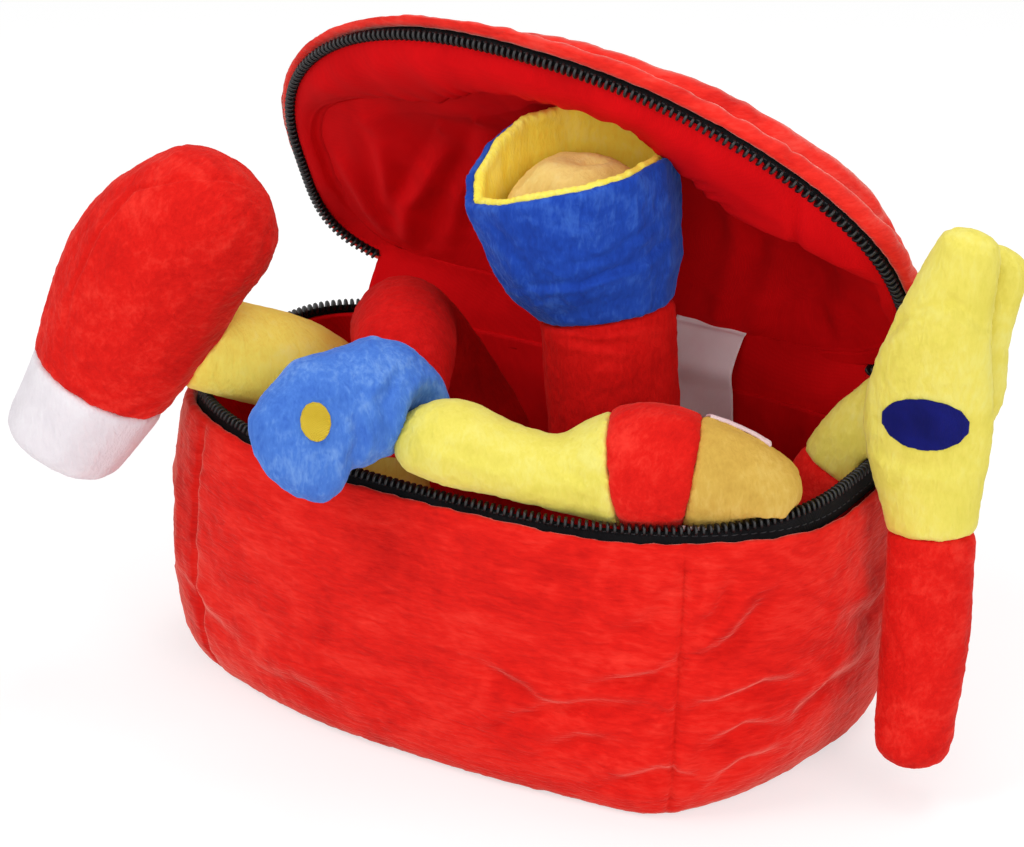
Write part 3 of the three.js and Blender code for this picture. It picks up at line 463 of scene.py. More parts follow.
# The cup's facing is the yellow plush painted brighter: painted light that makes up for the shade inside the
# cup.
CUP_YELLOW_PAINTED_LIGHT = plush("cup_yellow_painted_light_plush", (252, 218, 70), (255, 238, 92), (255, 244, 144), sheen=0.25)
TAN = plush("tan_plush", (236, 194, 104), (250, 218, 132), (252, 232, 164), sheen=0.2)
GOLD = plush("gold_plush", (190, 148, 62), (210, 170, 78), (228, 196, 108), sheen=0.12)
BLUE = plush("blue_plush", (44, 88, 184), (76, 124, 210), (136, 178, 236), sheen=0.5,
             tint=(150, 180, 240))
CUP_BLUE = plush("cup_blue_plush", (18, 48, 140), (32, 72, 176), (70, 118, 214), sheen=0.4,
                 tint=(130, 165, 235), spread=0.24)
NAVY = cloth("navy_thread", (10, 16, 96), (20, 28, 132), 1300, 0.7, 0.0, 0.8, 60, 0.15)
SPOT = cloth("yellow_thread", (222, 186, 40), (244, 214, 70), 1300, 0.6, 0.1, 0.8, 60)
TAPE = cloth("black_tape", (10, 10, 12), (28, 28, 31), 1100, 0.85, 0.03, 0.5, 60, 0.15)
THREAD = cloth("thread", (40, 40, 43), (66, 66, 70), 1500, 0.7, 0.0, 0.3, 60)
SATIN = cloth("label_satin", (244, 232, 238), (252, 246, 250), 1500, 0.45, 0.1, 0.25, 50)
STRIPE = plush("stripe_plush", (214, 182, 184), (228, 200, 202), (238, 218, 220), sheen=0.05)
COIL = hard("black_coil", (14, 14, 16), 0.42, 0.0)
METAL = hard("black_slider", (44, 44, 48), 0.35, 0.5)

# ------------ camera, floor and light

VIEW_YAW, VIEW_PITCH, VIEW_ROLL = math.radians(30.64), math.radians(23.33), math.radians(0.8)
VIEW_DISTANCE, VIEW_FOCAL, IMAGE_WIDTH, IMAGE_HEIGHT = 974.14, 3000.0, 1024, 847
VIEW_TARGET = np.array([-7.62, 0.0, 88.96])
SENSOR_WIDTH = 36
LAMP_AIM = Vector((0, 0, 0.1))
WORLD_LIGHT = 0.4
# The floor that the camera sees is partly paper in the light and partly plain white
FLOOR_SHADE, FLOOR_GLOW, FLOOR_HALF = 0.45, 0.62, 3.0


def view_axes():
    """The camera's directions to the right, up and back."""
    back = np.array([math.sin(VIEW_YAW) * math.cos(VIEW_PITCH), -math.cos(VIEW_YAW) * math.cos(VIEW_PITCH),
                     math.sin(VIEW_PITCH)])
    level = np.array([math.cos(VIEW_YAW), math.sin(VIEW_YAW), 0])
    rise = np.cross(back, level)
    c, s = math.cos(VIEW_ROLL), math.sin(VIEW_ROLL)
    return level * c + rise * s, rise * c - level * s, back


def add_camera():
    axes = view_axes()
    data = bpy.data.cameras.new("camera")
    data.sensor_width = SENSOR_WIDTH
    data.lens = VIEW_FOCAL / IMAGE_WIDTH * SENSOR_WIDTH
    data.clip_start, data.clip_end = 0.05, 50
    camera = link("camera", data)
    place = Vector((VIEW_TARGET + axes[2] * VIEW_DISTANCE) * MM)
    camera.matrix_world = Matrix.Translation(place) @ Matrix(axes).transposed().to_4x4()
    bpy.context.scene.camera = camera


def add_lamp(name, place, size, power):
    """A round soft lamp, aimed at the bag."""
    data = bpy.data.lights.new(name, "AREA")
    data.shape, data.size, data.energy = "DISK", size, power
    lamp = link(name, data)
    lamp.location = place
    lamp.rotation_mode = "QUATERNION"
    lamp.rotation_quaternion = (LAMP_AIM - Vector(place)).to_track_quat("-Z", "Y")


def add_world():
    """A white world that gives off less light than the camera sees."""
    world = bpy.data.worlds.new("studio")
    world.use_nodes = True
    tree = world.node_tree
    background = give(tree.nodes["Background"], Color=(1, 1, 1, 1))
    path = add(tree, "ShaderNodeLightPath").outputs
    seen = math_node(tree, "MAXIMUM", path["Is Camera Ray"],
                     math_node(tree, "MAXIMUM", path["Is Glossy Ray"], path["Is Transmission Ray"]))
    tree.links.new(weighted(tree, (seen, 1 - WORLD_LIGHT), (WORLD_LIGHT, 1.0)), background.inputs["Strength"])
    bpy.context.scene.world = world


def add_floor():
    mesh = bpy.data.meshes.new("floor")
    mesh.from_pydata([(x * FLOOR_HALF, y * FLOOR_HALF, 0) for x, y in ((-1, -1), (1, -1), (1, 1), (-1, 1))],
                     [], [(0, 1, 2, 3)])
    material, tree, shader, source = nodes_of("floor_paper", 0.9, 0.0)
    paper = ramp_node(tree, noise_node(tree, source, 60, detail=4),
                      (0.0, (0.93, 0.93, 0.93, 1)), (1.0, (0.95, 0.95, 0.95, 1)))
    seen = add(tree, "ShaderNodeLightPath").outputs["Is Camera Ray"]
    dim = add(tree, "ShaderNodeMixRGB", Color2=(FLOOR_SHADE, FLOOR_SHADE, FLOOR_SHADE, 1))
    tree.links.new(seen, dim.inputs["Fac"])
    tree.links.new(paper, dim.inputs["Color1"])
    tree.links.new(dim.outputs["Color"], shader.inputs["Base Color"])
    give(shader, Emission_Color=(1, 1, 1, 1))
    tree.links.new(math_node(tree, "MULTIPLY", seen, FLOOR_GLOW), shader.inputs["Emission Strength"])
    mesh.materials.append(material)
    link("floor", mesh)


add_camera()
add_world()
add_lamp("key", (-0.8, -1.1, 1.6), 0.9, 12)
add_lamp("fill", (0.45, -1.3, 0.6), 1.0, 4.5)
add_lamp("side", (1.5, -0.5, 1.0), 1.0, 7.5)
add_lamp("top", (0.1, 0.5, 1.8), 1.2, 11)
add_floor()
bpy.context.scene.view_settings.view_transform = "Standard"

# ------------ the bag

WALL_STEP, WALL_ROWS = 1.3, 68
PLAN_RUN = float(run_along(TURN_STOP - 1e-6) - run_along(TURN_START))
STATIONS = round(PLAN_RUN / WALL_STEP)
TURN = even_angles(STATIONS)
SEAM_RUNS = [float(run_along(angle_at_width(side * SEAM_WIDTH, front)))
             for side, front in ((-1, True), (1, True), (1, False), (-1, False))]
# The station nearest to each seam moves onto it
NUDGES = np.array([-0.03, 0.0, 0.03])
for seam_run in SEAM_RUNS:
    station = int(np.argmin(np.abs(run_along(TURN) - seam_run)))
    TURN[station] += np.interp(seam_run, run_along(TURN[station] + NUDGES), NUDGES)
TURN_RUN = run_along(TURN)

FOLD_GAIN, FOLD_SPREAD = 1.9, 1.3
# Folds of the front wall: distance round the plan and height, then width, depth and swell
WALL_FOLDS = [
    ([(58, 42), (72, 47), (84, 50), (93, 58)], 2.2, 1.5, 1.2),
    ([(96, 56), (106, 63), (116, 76)], 2.4, 1.4, 1.0),
    ([(38, 26), (52, 34), (66, 38), (84, 40)], 2.4, 1.6, 1.2),
    ([(92, 40), (102, 41), (116, 46), (126, 44)], 2.4, 1.5, 1.2),
    ([(28, 44), (42, 39), (52, 36)], 2.2, 1.1, 0.8),
    ([(72, 12), (86, 18), (97, 14)], 2.4, 1.4, 1.1),
    ([(92, 62), (101, 72), (105, 84)], 2.0, 0.9, 0.6),
    ([(52, 20), (62, 26), (74, 27)], 2.2, 1.0, 0.8),
    ([(100, 26), (112, 32), (122, 30)], 2.2, 1.2, 0.9),
    ([(104, 12), (114, 18), (126, 18)], 2.4, 1.1, 0.8),
    ([(70, 62), (80, 68), (86, 78)], 2.2, 0.8, 0.6),
    ([(-96, 30), (-84, 24), (-70, 22)], 3.4, 1.0, 0.7),
    ([(-60, 12), (-40, 16), (-22, 13)], 3.4, 0.8, 0.6),
    ([(-112, 66), (-108, 50), (-112, 36)], 3.0, 1.0, 0.7),
    ([(128, 30), (146, 36), (165, 33)], 3.4, 1.2, 0.9),
    ([(150, 58), (168, 52), (184, 56)], 3.4, 1.2, 0.9),
    ([(220, 30), (244, 36), (268, 31)], 3.8, 1.2, 0.9),
    ([(-150, 60), (-134, 52), (-118, 54)], 3.4, 1.2, 0.8),
    ([(-180, 28), (-164, 34), (-146, 30)], 3.4, 1.1, 0.8),
]

# The foot's own shape: which front seam, how far round from it, how wide and how far out
FOOT_SHIFTS = [(1, -6, 18, 5.5), (1, 50, 30, -6.0), (0, 14, 34, -2.6), (0, -40, 24, -1.2)]
FOOT_SHIFT_TOP = 60
FOOT_TOP, EDGE_ROUND, WALL_FLOOR = 2.3, 1.6, 4.0
UNDER_INSET, SHELL_INSIDE, FLOOR_INSET, FLOOR_CLEAR = 2.6, 4.1, 4.6, 0.02
LINING_FLOOR, LINING_STATIONS = 4.3, 360


def from_seam(run, seam):
    """Distance from a seam, the short way round the plan."""
    return (run - seam + PLAN_RUN / 2) % PLAN_RUN - PLAN_RUN / 2


def wall_sculpt(run, height, top):
    """How far the padded wall stands proud of its solid."""
    at = np.stack([run, height], -1)
    offset = np.zeros(len(run))
    for line, width, depth, swell in WALL_FOLDS:
        offset += crease(at, line, FOLD_SPREAD * width, FOLD_GAIN * depth, FOLD_GAIN * swell)
    below_rim = np.clip((top - height) / 9, 0, 1)
    for seam in SEAM_RUNS:
        off = from_seam(run, seam)
        pucker = np.sin(height * 0.62 + 2 * np.sin(height * 0.17)) * bell(np.abs(off) - 4, 4)
        offset += below_rim * (0.3 * pucker - 1.7 * bell(off, 0.9) - 0.5 * bell(off, 3))
    offset += bell(top - height, 5) * (0.12 * np.sin(run * 0.5 + 2.5 * np.sin(run * 0.07)) - 0.5)
    slow = np.stack([run, height, 0 * run], -1)
    return offset + 0.9 * noise(slow, (46, 34, 10), 5) + 0.35 * noise(slow, (19, 12, 10), 6)


def foot_shift(run, height):
    """How far the foot is pushed out or drawn in, less and less up the wall."""
    push = sum(out * bell(run - SEAM_RUNS[seam] - place, width) for seam, place, width, out in FOOT_SHIFTS)
    return push * np.clip(1 - height / FOOT_SHIFT_TOP, 0, 1) ** 2


def push_out(obj, foot, slack=0.0):
    """Moves corners level, out from the bag's middle by the foot's shift less the slack."""
    p = corners_of(obj)
    out = p * [1, 1, 0]
    size = np.maximum(np.linalg.norm(out, axis=1), 1e-6)
    push = foot * np.clip(size / FRONT_DEPTH, 0, 1) - slack
    move_to(obj, p + out * (push / size)[:, None])


def bag_shell():
    """Padded walls and base: out under the base, up outside, over the rim, down inside and in again."""
    top = rim_at(TURN) - edge_drop(TURN)
    flat = 0 * TURN
    under = [wall_point(TURN, UNDER_INSET, flat) * [share, share, 1]
             for share in (0.02, 0.3, 0.55, 0.75, 0.88, 0.96)]
    wall = [(inset, height + flat) for inset, height in ((2.2, 0.0), (0.9, 0.25), (0.25, 1.1), (0.0, FOOT_TOP))]
    wall += [(0, FOOT_TOP + (top - EDGE_ROUND - FOOT_TOP) * i / WALL_ROWS) for i in range(1, WALL_ROWS + 1)]
    wall += [(inset, top - drop) for inset, drop in
             ((0.25, 0.75), (0.9, 0.2), (1.9, 0.0), (3.0, 0.35), (3.8, 1.4), (SHELL_INSIDE, 3.2))]
    first_inside = len(under) + len(wall) - 1
    wall += [(SHELL_INSIDE, top * share) for share in (0.75, 0.5, 0.25, 0.16, 0.09)]
    floor = wall_point(TURN, FLOOR_INSET, WALL_FLOOR + flat)
    rows = under + [wall_point(TURN, inset, height) for inset, height in wall]
    rows += [floor * [share, share, 1] for share in (1, 0.6, 0.02)]
    obj = make("bag_shell", rows, capped(len(rows), STATIONS), "bag", RED,
               ("body_front_panel", "body_right_panel", "body_back_panel", "body_left_panel",
                "body_base_panel"))
    height = np.concatenate([flat] * len(under) + [height for _, height in wall])
    known = len(under) + len(wall)
    run = np.tile(TURN_RUN, known)
    rest = (0, (len(rows) - known) * STATIONS)
    sculpt = wall_sculpt(run, height, np.tile(top, known)) * np.clip(height / 7, 0, 1) ** 0.7
    sculpt[first_inside * STATIONS:] = 0
    along_normals(obj, np.pad(sculpt, rest))
    push_out(obj, np.pad(foot_shift(run, height), rest))
    pile(obj, 0.17, 0.1, 11)
    p = corners_of(obj)
    p[:, 2] = np.maximum(p[:, 2], FLOOR_CLEAR)
    move_to(obj, p)


def lining_cup():
    """The cloth that lines the bag: slack folds down the walls."""
    turn = even_angles(LINING_STATIONS)
    top = rim_at(turn) - LINING_HEM
    inner, outer = [], []
    for share in (1, 0.985, 0.96, *np.linspace(0.92, 0.04, 40), 0):
        height = LINING_FLOOR + (top - LINING_FLOOR) * share
        inner.append(wall_point(turn, LINING_INSET + LINING_CLOTH, height + LINING_CLOTH * (share == 0)))
        outer.append(wall_point(turn, LINING_INSET, height))
    for part in (inner, outer):
        part += [part[-1] * [share, share, 1] for share in (0.9, 0.6, 0.3, 0.02)]
    rows = inner[::-1] + outer
    obj = make("bag_lining", rows, capped(len(rows), LINING_STATIONS), "bag", LINING,
               ("body_lining",))
    height = corners_of(obj)[:, 2]
    run = np.tile(run_along(turn), len(rows))
    slow = np.stack([run, height, 0 * run], -1)
    fold = 1.3 * noise(slow, (17, 60, 9), 21) + 0.9 * noise(slow, (9, 34, 9), 22)
    fold += 0.7 * noise(slow, (30, 22, 9), 23)
    hem = np.clip((np.tile(top, len(rows)) - height) / 12, 0, 1)
    push_out(obj, foot_shift(run, height), np.maximum(0.9 + fold, 0.2) * hem)


# ------------ the lid

# Folds of the lid's slack lining: distance across and out from the hinge, then width, depth and swell
LID_FOLDS = [
    ([(-112, 60), (-104, 50), (-97, 28), (-92, 8)], 4.0, 2.8, 2.4),
    ([(-58, 74), (-70, 56), (-80, 44), (-90, 16)], 4.0, 2.8, 2.4),
    ([(-40, 82), (-50, 64), (-60, 50), (-72, 24)], 4.0, 2.4, 2.0),
    ([(-84, 72), (-86, 52), (-89, 34)], 3.5, 2.0, 1.6),
    ([(-28, 60), (-38, 36), (-52, 12)], 4.0, 2.4, 1.8),
    ([(40, 66), (37, 40), (30, 12)], 4.5, 2.6, 2.0),
    ([(58, 58), (50, 32), (40, 8)], 4.0, 2.0, 1.6),
    ([(82, 46), (76, 30), (80, 10)], 4.0, 2.0, 1.4),
]
# Insets and heights of the rounded edge at the zip
LID_EDGE = ((3.9, 2.2), (3.7, 0.8), (2.9, 0.25), (1.8, 0.0), (0.8, 0.25), (0.2, 0.8))
LID_SEAM_REACH, LID_SEAM_DEPTH, LID_SEAM_CLEAR, LID_TAPE_LEAST = 0.992, 2.4, 2.0, 4.6


def lid_edge_drop(turn):
    """How much tape shows under the lid's edge: more at its left rear."""
    return FRONT_EDGE_DROP + 0.3 * bell((turn - TURN_START) % (2 * math.pi) - 0.4 * math.pi, 0.5)


def lid_tape_depth(turn):
    """The tape ends under the lid's seam, which comes low at the left."""
    return np.clip(lid_height_at(turn) - LID_SEAM_CLEAR, LID_TAPE_LEAST, LID_TAPE_DEPTH)


def lid_profile(turn):
    """Outer rows of the lid, each with a mark: 0 at the edge, 1 at the seam, nearly 2 in the top's middle."""
    height_at = lid_height_at(turn)
    low = lid_edge_drop(turn)
    rows = [lid_point(turn, inset, np.minimum(low + up, 0.8 * height_at)) for inset, up in LID_EDGE]
    marks = [0.0] * len(rows)
    for share in np.linspace(0.14, 0.97, 9):
        rows.append(lid_point(turn, 0, low + (height_at - low) * share))
        marks.append(share)
    rows.append(lid_point(turn, 0.3, height_at + 0.2, LID_SEAM_REACH))
    marks.append(1.0)
    for reach in (0.975, 0.955, 0.93, 0.90, 0.87, *np.linspace(0.85, 0.03, 62)):
        blend = min(1.0, (LID_SEAM_REACH - reach) / 0.06)
        rows.append(lid_point(turn, 0, crown_height(turn, reach) + PLUSH * blend**0.6, reach))
        marks.append(2 - reach)
    return rows, marks


def lid_shell():
    """The padded lid, drawn in at the seam round its crown and swollen beside it."""
    outer, marks = lid_profile(TURN)
    inner = [lid_point(TURN, 0, crown_height(TURN, reach) + 0.2, reach) for reach in (0.03, 0.4, 0.7, 0.88)]
    inner += [lid_point(TURN, PLUSH + 0.6, lid_height_at(TURN) * share) for share in (0.86, 0.74)]
    rows = inner + outer
    obj = make("lid_shell", rows, capped(len(rows), STATIONS), "lid", LID_RED_PAINTED_LIGHT,
               ("lid_front_band", "lid_right_band", "lid_back_band", "lid_left_band", "lid_top_panel"))
    band = lid_height_at(TURN) - lid_edge_drop(TURN)
    seam_depth = LID_SEAM_DEPTH * np.clip(band / 7.2, 0.3, 1)
    seam_width = np.clip(1.8 / band, 0.25, 0.6)
    tucks = sum(bell(from_seam(TURN_RUN, seam), 1.3) for seam in SEAM_RUNS)
    offset, free = np.zeros((2, len(rows), STATIONS))
    for i, mark in enumerate(marks, len(inner)):
        below = mark < 1
        seam = bell(mark - 1, seam_width if below else 0.018)
        pucker = 0.45 * bell(mark - 1, 0.6 if below else 0.07)
        offset[i] = pucker * np.sin(TURN_RUN * 0.42 + 2.2 * np.sin(TURN_RUN * 0.09)) - seam_depth * seam
        free[i] = 1 - 0.8 * seam
        if mark > 1.03:
            offset[i] += 0.9 * bell(mark - 1.1, 0.06) * (1 + 0.6 * np.sin(TURN_RUN * 0.11 + 1))
        elif 0 < mark <= 1:
            offset[i] -= tucks
    free[:len(inner) + len(LID_EDGE)] = 0
    p = corners_of(obj)
    swell = 0.8 * noise(p, 34, 31) + 0.45 * noise(p, 16, 32)
    along_normals(obj, offset.ravel() + swell * free.ravel())
    pile(obj, 0.14, 0.1, 33)


# Inner edge of the facing on the lid's plan; it keeps clear of the torch's cup in the middle
FACING_EDGE = np.array([(-119, -14), (-105, -30), (-81, -37), (-50, -40), (-32, -48), (-17, -54), (35, -54),
                        (41, -45), (50, -37), (66, -22), (77, -11), (86, -5), (94, -12), (104, -24),
                        (119, -24)], float)
FACING_LEAST, FACING_MOST = 0.94, 0.4
FACING_LOW, FACING_SEAM, FACING_PUFF = 3.6, 3.0, 4.2
FACING_ROWS, ROOF_ROWS, LID_STATIONS = 26, 84, 520
HEM_STAND, ROOF_CLEAR = 5.2, 1.0
CROSS_SEAM = [(82, -12), (84, -22), (88, -40), (92, -52)]


def facing_reach(turn):
    """The share of the way from the lid's middle at which the padded facing ends."""
    x, y = plan(turn, 0, LID_BACK)
    shares = np.linspace(FACING_LEAST, FACING_MOST, 200)[:, None]
    outside = y * shares < np.interp(x * shares, *FACING_EDGE.T)
    outside[-1] = False
    reach = shares[np.argmin(outside, axis=0), 0]
    window = 9
    padded = np.concatenate([reach[-window:], reach, reach[:window]])
    smooth = np.convolve(padded, np.ones(2 * window + 1) / (2 * window + 1), "valid")
    return np.minimum(smooth, FACING_LEAST)


def lining_rows(turn):
    """Rows of the lid's lining: behind the roof, then the facing, its seam and the roof's own cloth."""
    run = run_along(turn)
    edge = facing_reach(turn) + 0.004 * np.sin(run * 0.11) + 0.003 * np.sin(run * 0.29 + 1)
    plan_x, plan_y = plan(turn, 0, LID_BACK)
    by_cup = np.exp(-(((plan_x - 10) / 36) ** 4)) * (plan_y < 0)
    back = np.clip(3 * np.sin(turn), 0, 1)
    width = np.clip((1 - edge) / 0.2, 0.25, 1.1) * (1 - back)
    front_rows = []
    for share in np.linspace(0, 1, FACING_ROWS):
        puff = FACING_PUFF * width * math.sin(math.pi * share**0.85) ** 0.8 if 0 < share < 1 else 0.0
        pucker = 0.4 * np.sin(run * 0.5 + 1.7 * np.sin(run * 0.13)) * bell(1 - share, 0.22)
        height = FACING_LOW + (FACING_SEAM + 2.2 * back - FACING_LOW) * share - puff - pucker * width
        front_rows.append(lid_point(turn, LINING_INSET, height, 1 + (edge - 1) * share))
    for inward, height in ((-0.004, 4.4), (0.0, 5.6), (0.006, 5.2)):
        reach = edge - inward - 0.004 * back
        front_rows.append(lid_point(turn, LINING_INSET, height + (HEM_STAND - height) * back, reach))
    for share in np.linspace(0.004, 1, ROOF_ROWS):
        reach = edge - 0.008 + (0.02 - edge + 0.008) * share
        away = (edge - reach) * np.hypot(plan_x, plan_y)
        roof = crown_height(turn, reach) - GAP - ROOF_CLEAR
        slack = np.exp(-((away / (17 - 11 * by_cup)) ** 1.3))
        front_rows.append(lid_point(turn, LINING_INSET, roof + (HEM_STAND - roof) * slack, reach))
    back_rows = [lid_point(turn, LINING_INSET, crown_height(turn, reach) + 0.1, reach)
                 for reach in (0.02, 0.5, 0.85)]
    for height in (LINING_HEM + (lid_height_at(turn) - LINING_HEM) * 0.6, LINING_HEM - 0.6):
        back_rows.append(lid_point(turn, LINING_INSET - 0.2, height))
    return back_rows, front_rows


def lid_lining():
    """The padded facing inside the zip, its seam, and the slack lining that falls back under the crown."""
    back_rows, front_rows = lining_rows(even_angles(LID_STATIONS))
    rows = back_rows + front_rows
    obj = make("lid_inside", rows, capped(len(rows), LID_STATIONS), "lid", LINING,
               ("lid_lining",))
    p = corners_of(obj)
    x = p[:, 0]
    turned = LID_OPEN - LID_TWIST * x / HALF_WIDTH
    reach_out = (HINGE_Y - p[:, 1]) * np.cos(turned) + (p[:, 2] - HINGE_Z) * np.sin(turned)
    flat = np.stack([x, reach_out], -1)
    into_bag = np.stack([0 * x, -np.sin(turned), -np.cos(turned)], -1)
    row_index = np.repeat(np.arange(len(rows)) - len(back_rows), LID_STATIONS)
    roof = np.clip((row_index - FACING_ROWS - 3) / 8, 0, 1)
    middle = np.clip((len(front_rows) - 2 - row_index) / 10, 0, 1)
    slow = np.stack([x + 0.4 * reach_out, reach_out, 0 * x], -1)
    folds = 1.3 * noise(slow, (20, 44, 9), 41) + 0.8 * noise(slow, (10, 24, 9), 42) + 1.0
    for line, width, depth, swell in LID_FOLDS:
        folds += crease(flat, line, width, 0.5 * depth, 1.8 * swell, 1.5, 1.2)
    facing = np.clip(row_index / 5, 0, 1) * np.clip((FACING_ROWS - row_index) / 4, 0, 1)
    soft = 0.9 * noise(slow, (26, 20, 9), 43) + 0.4 * noise(slow, (11, 9, 9), 44)
    soft -= 1.6 * bell(line_distance(flat, [(a, HINGE_Y - b) for a, b in CROSS_SEAM])[0], 1.8)
    move_to(obj, p + into_bag * (np.clip(folds, -0.3, 7) * roof * middle + soft * facing)[:, None])


# ------------ zip

ZIP_CORNER = angle_at_width(ZIP_END_WIDTH, False)
ZIP_TURNS = np.linspace(math.pi - ZIP_CORNER, 2 * math.pi + ZIP_CORNER, 8001)
ZIP_RUN = run_of(plan(ZIP_TURNS, COIL_MIDDLE))
TOOTH_PITCH, SLIDER_ROOM = 2.2, 13.2
TAPE_STEPS, TAPE_HEAD = 420, COIL_HEIGHT - 0.8
STITCH_PITCH, STITCH_LENGTH, STITCH_WIDTH, STITCH_SIDES, STITCH_END = 3.0, 2.1, 0.42, 6, 6


def zip_turn(at):
    """Angles at distances along the zip."""
    return np.interp(at, ZIP_RUN, ZIP_TURNS)


def tape(name, point_at, depth_at, body, node):
    """A strip of woven tape along the zip, rounded at both edges."""
    turn = zip_turn(np.linspace(0, ZIP_RUN[-1], TAPE_STEPS))
    inner = TAPE_INSET + TAPE_THICKNESS
    section = [(TAPE_INSET, 1.0), (TAPE_INSET - 0.05, 0.6), (TAPE_INSET, 0.2), (TAPE_INSET + 0.1, 0.0),
               (inner - 0.1, 0.0), (inner, 0.2), (inner + 0.05, 0.6), (inner, 1.0)]
    length = depth_at(turn) - TAPE_HEAD
    rows = np.array([point_at(turn, inset, TAPE_HEAD + length * share) for inset, share in section])
    make(name, rows.transpose(1, 0, 2), capped(TAPE_STEPS, len(section)), body, TAPE, (node,))


def teeth(name, point_at, body, node, shift, stop_short):
    """The coil: one rounded loop of nylon for each tooth."""
    count = int((ZIP_RUN[-1] - stop_short) / TOOTH_PITCH)
    turn = zip_turn((np.arange(count) + 0.5 + shift) * TOOTH_PITCH)
    low = point_at(turn, COIL_MIDDLE, COIL_HEIGHT)
    up = unit(point_at(turn, COIL_MIDDLE, 0) - low)
    across = point_at(turn, COIL_MIDDLE - 1, COIL_HEIGHT / 2) - point_at(turn, COIL_MIDDLE + 1, COIL_HEIGHT / 2)
    across = unit(across - up * np.sum(across * up, axis=1)[:, None])
    along = np.cross(up, across)
    half, rise = COIL_WIDTH / 2, COIL_HEIGHT - 0.3
    bend = [(1.02, 0.35), (0.95, 0.68), (0.62, 0.93)]
    outline = [(-1, 0), *((-a, b) for a, b in bend), (0, 1), *bend[::-1], (1, 0), (0, -0.2 / rise)]
    a, b = (np.array(outline) * [half, rise]).T
    thick, fit = np.array([(-0.5, 0.72), (-0.4, 0.93), (0.0, 1.0), (0.4, 0.93), (0.5, 0.72)]).T[:, :, None]
    middle = 0.45 * rise
    low, up, across, along = (v[:, None, None] for v in (low, up, across, along))
    points = low + across * (a * fit)[..., None] + up * (middle + (b - middle) * fit)[..., None]
    points = points + along * thick[..., None]
    make(name, points, repeated(capped(len(thick), len(outline)), count), body, COIL, (node,))


def zip_stitches(name, point_at, drop_at, body):
    """Short raised stitches along the tape, each a little pointed capsule."""
    turn = zip_turn(np.arange(STITCH_END, ZIP_RUN[-1] - STITCH_END, STITCH_PITCH))
    drop = drop_at(turn)
    place = point_at(turn, TAPE_INSET - 0.12, drop)
    ahead = unit(point_at(turn + 0.01, TAPE_INSET - 0.12, drop) - place)
    side = unit(np.cross(place - point_at(turn, TAPE_INSET + 1, drop), ahead))
    out = np.cross(ahead, side)
    step, fit = np.array([(-0.5, 0.25), (-0.38, 0.8), (0.0, 1.0), (0.38, 0.8), (0.5, 0.25)]).T[:, :, None]
    round_turn = 2 * math.pi * np.arange(STITCH_SIDES) / STITCH_SIDES
    radius = STITCH_WIDTH * fit / 2
    lift = STITCH_WIDTH * 0.35 * (1 - 4 * step**2)
    place, ahead, side, out = (v[:, None, None] for v in (place, ahead, side, out))
    points = place + ahead * (step * STITCH_LENGTH)[..., None] + side * (radius * np.cos(round_turn))[..., None]
    points = points + out * (radius * np.sin(round_turn) + lift)[..., None]
    make(name, points, repeated(capped(len(step), STITCH_SIDES), len(turn)), body, THREAD)


# ------------ hinge cloth

def catmull(points, count):
    """Smooth points through a row of points."""
    p = np.asarray(points, float)
    p = np.concatenate([2 * p[:1] - p[1:2], p, 2 * p[-1:] - p[-2:-1]])
    out = []
    spans = len(p) - 3
    for u in np.linspace(0, spans, count):
        i = min(int(u), spans - 1)
        t = u - i
        a, b, c, d = p[i:i + 4]
        out.append(0.5 * (2 * b + (c - a) * t + (2 * a - 5 * b + 4 * c - d) * t * t
                          + (3 * b - a - 3 * c + d) * t**3))
    return np.array(out)


def hinge_cloth():
    """Padded cloth that joins bag and lid along the back, plush outside and lining inside."""
    count, ring = 130, 22
    points = []
    for x in np.linspace(-ZIP_END_WIDTH + 3, ZIP_END_WIDTH - 3, count):
        angle = angle_at_width(x, False)
        rim = rim_at(angle)
        edge = rim - edge_drop(angle)
        body_out, body_top = wall_point(angle, 0.6, edge - 3.5), wall_point(angle, 1.0, edge + 0.6)
        body_in = wall_point(angle, LINING_INSET + 1.6, rim - LINING_HEM - 4)
        lid_out = lid_point(angle, 0.6, FRONT_EDGE_DROP + 2.5)
        lid_low = lid_point(angle, 0.9, FRONT_EDGE_DROP - 0.4)
        lid_in = lid_point(angle, LINING_INSET + 5.0, LINING_HEM + 0.6)
        lid_over = lid_point(angle, LINING_INSET + 0.8, LINING_HEM - 2.4)
        middle_out = np.array([x, max(body_top[1], lid_low[1]) + 1.3, HINGE_Z - 0.2])
        middle_in = np.array([x, min(body_in[1], lid_over[1]) + 0.6, (body_in[2] + lid_over[2]) / 2])
        row = np.concatenate([catmull([body_out, body_top, middle_out, lid_low, lid_out], ring),
                              catmull([lid_in, lid_over, middle_in, body_in], ring)])
        row[:, 0] = x
        points.append(row)
    obj = make("hinge_cloth", points, capped(count, 2 * ring), None, LINING, ("hinge_seam",))
    obj.data.materials.append(RED)
    for index, face in enumerate(obj.data.polygons):
        face.material_index = int(index % (2 * ring) < ring - 1)
    pile(obj, 0.1, 0.3, 51)
    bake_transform(obj)


# ------------ soft copies of the tools

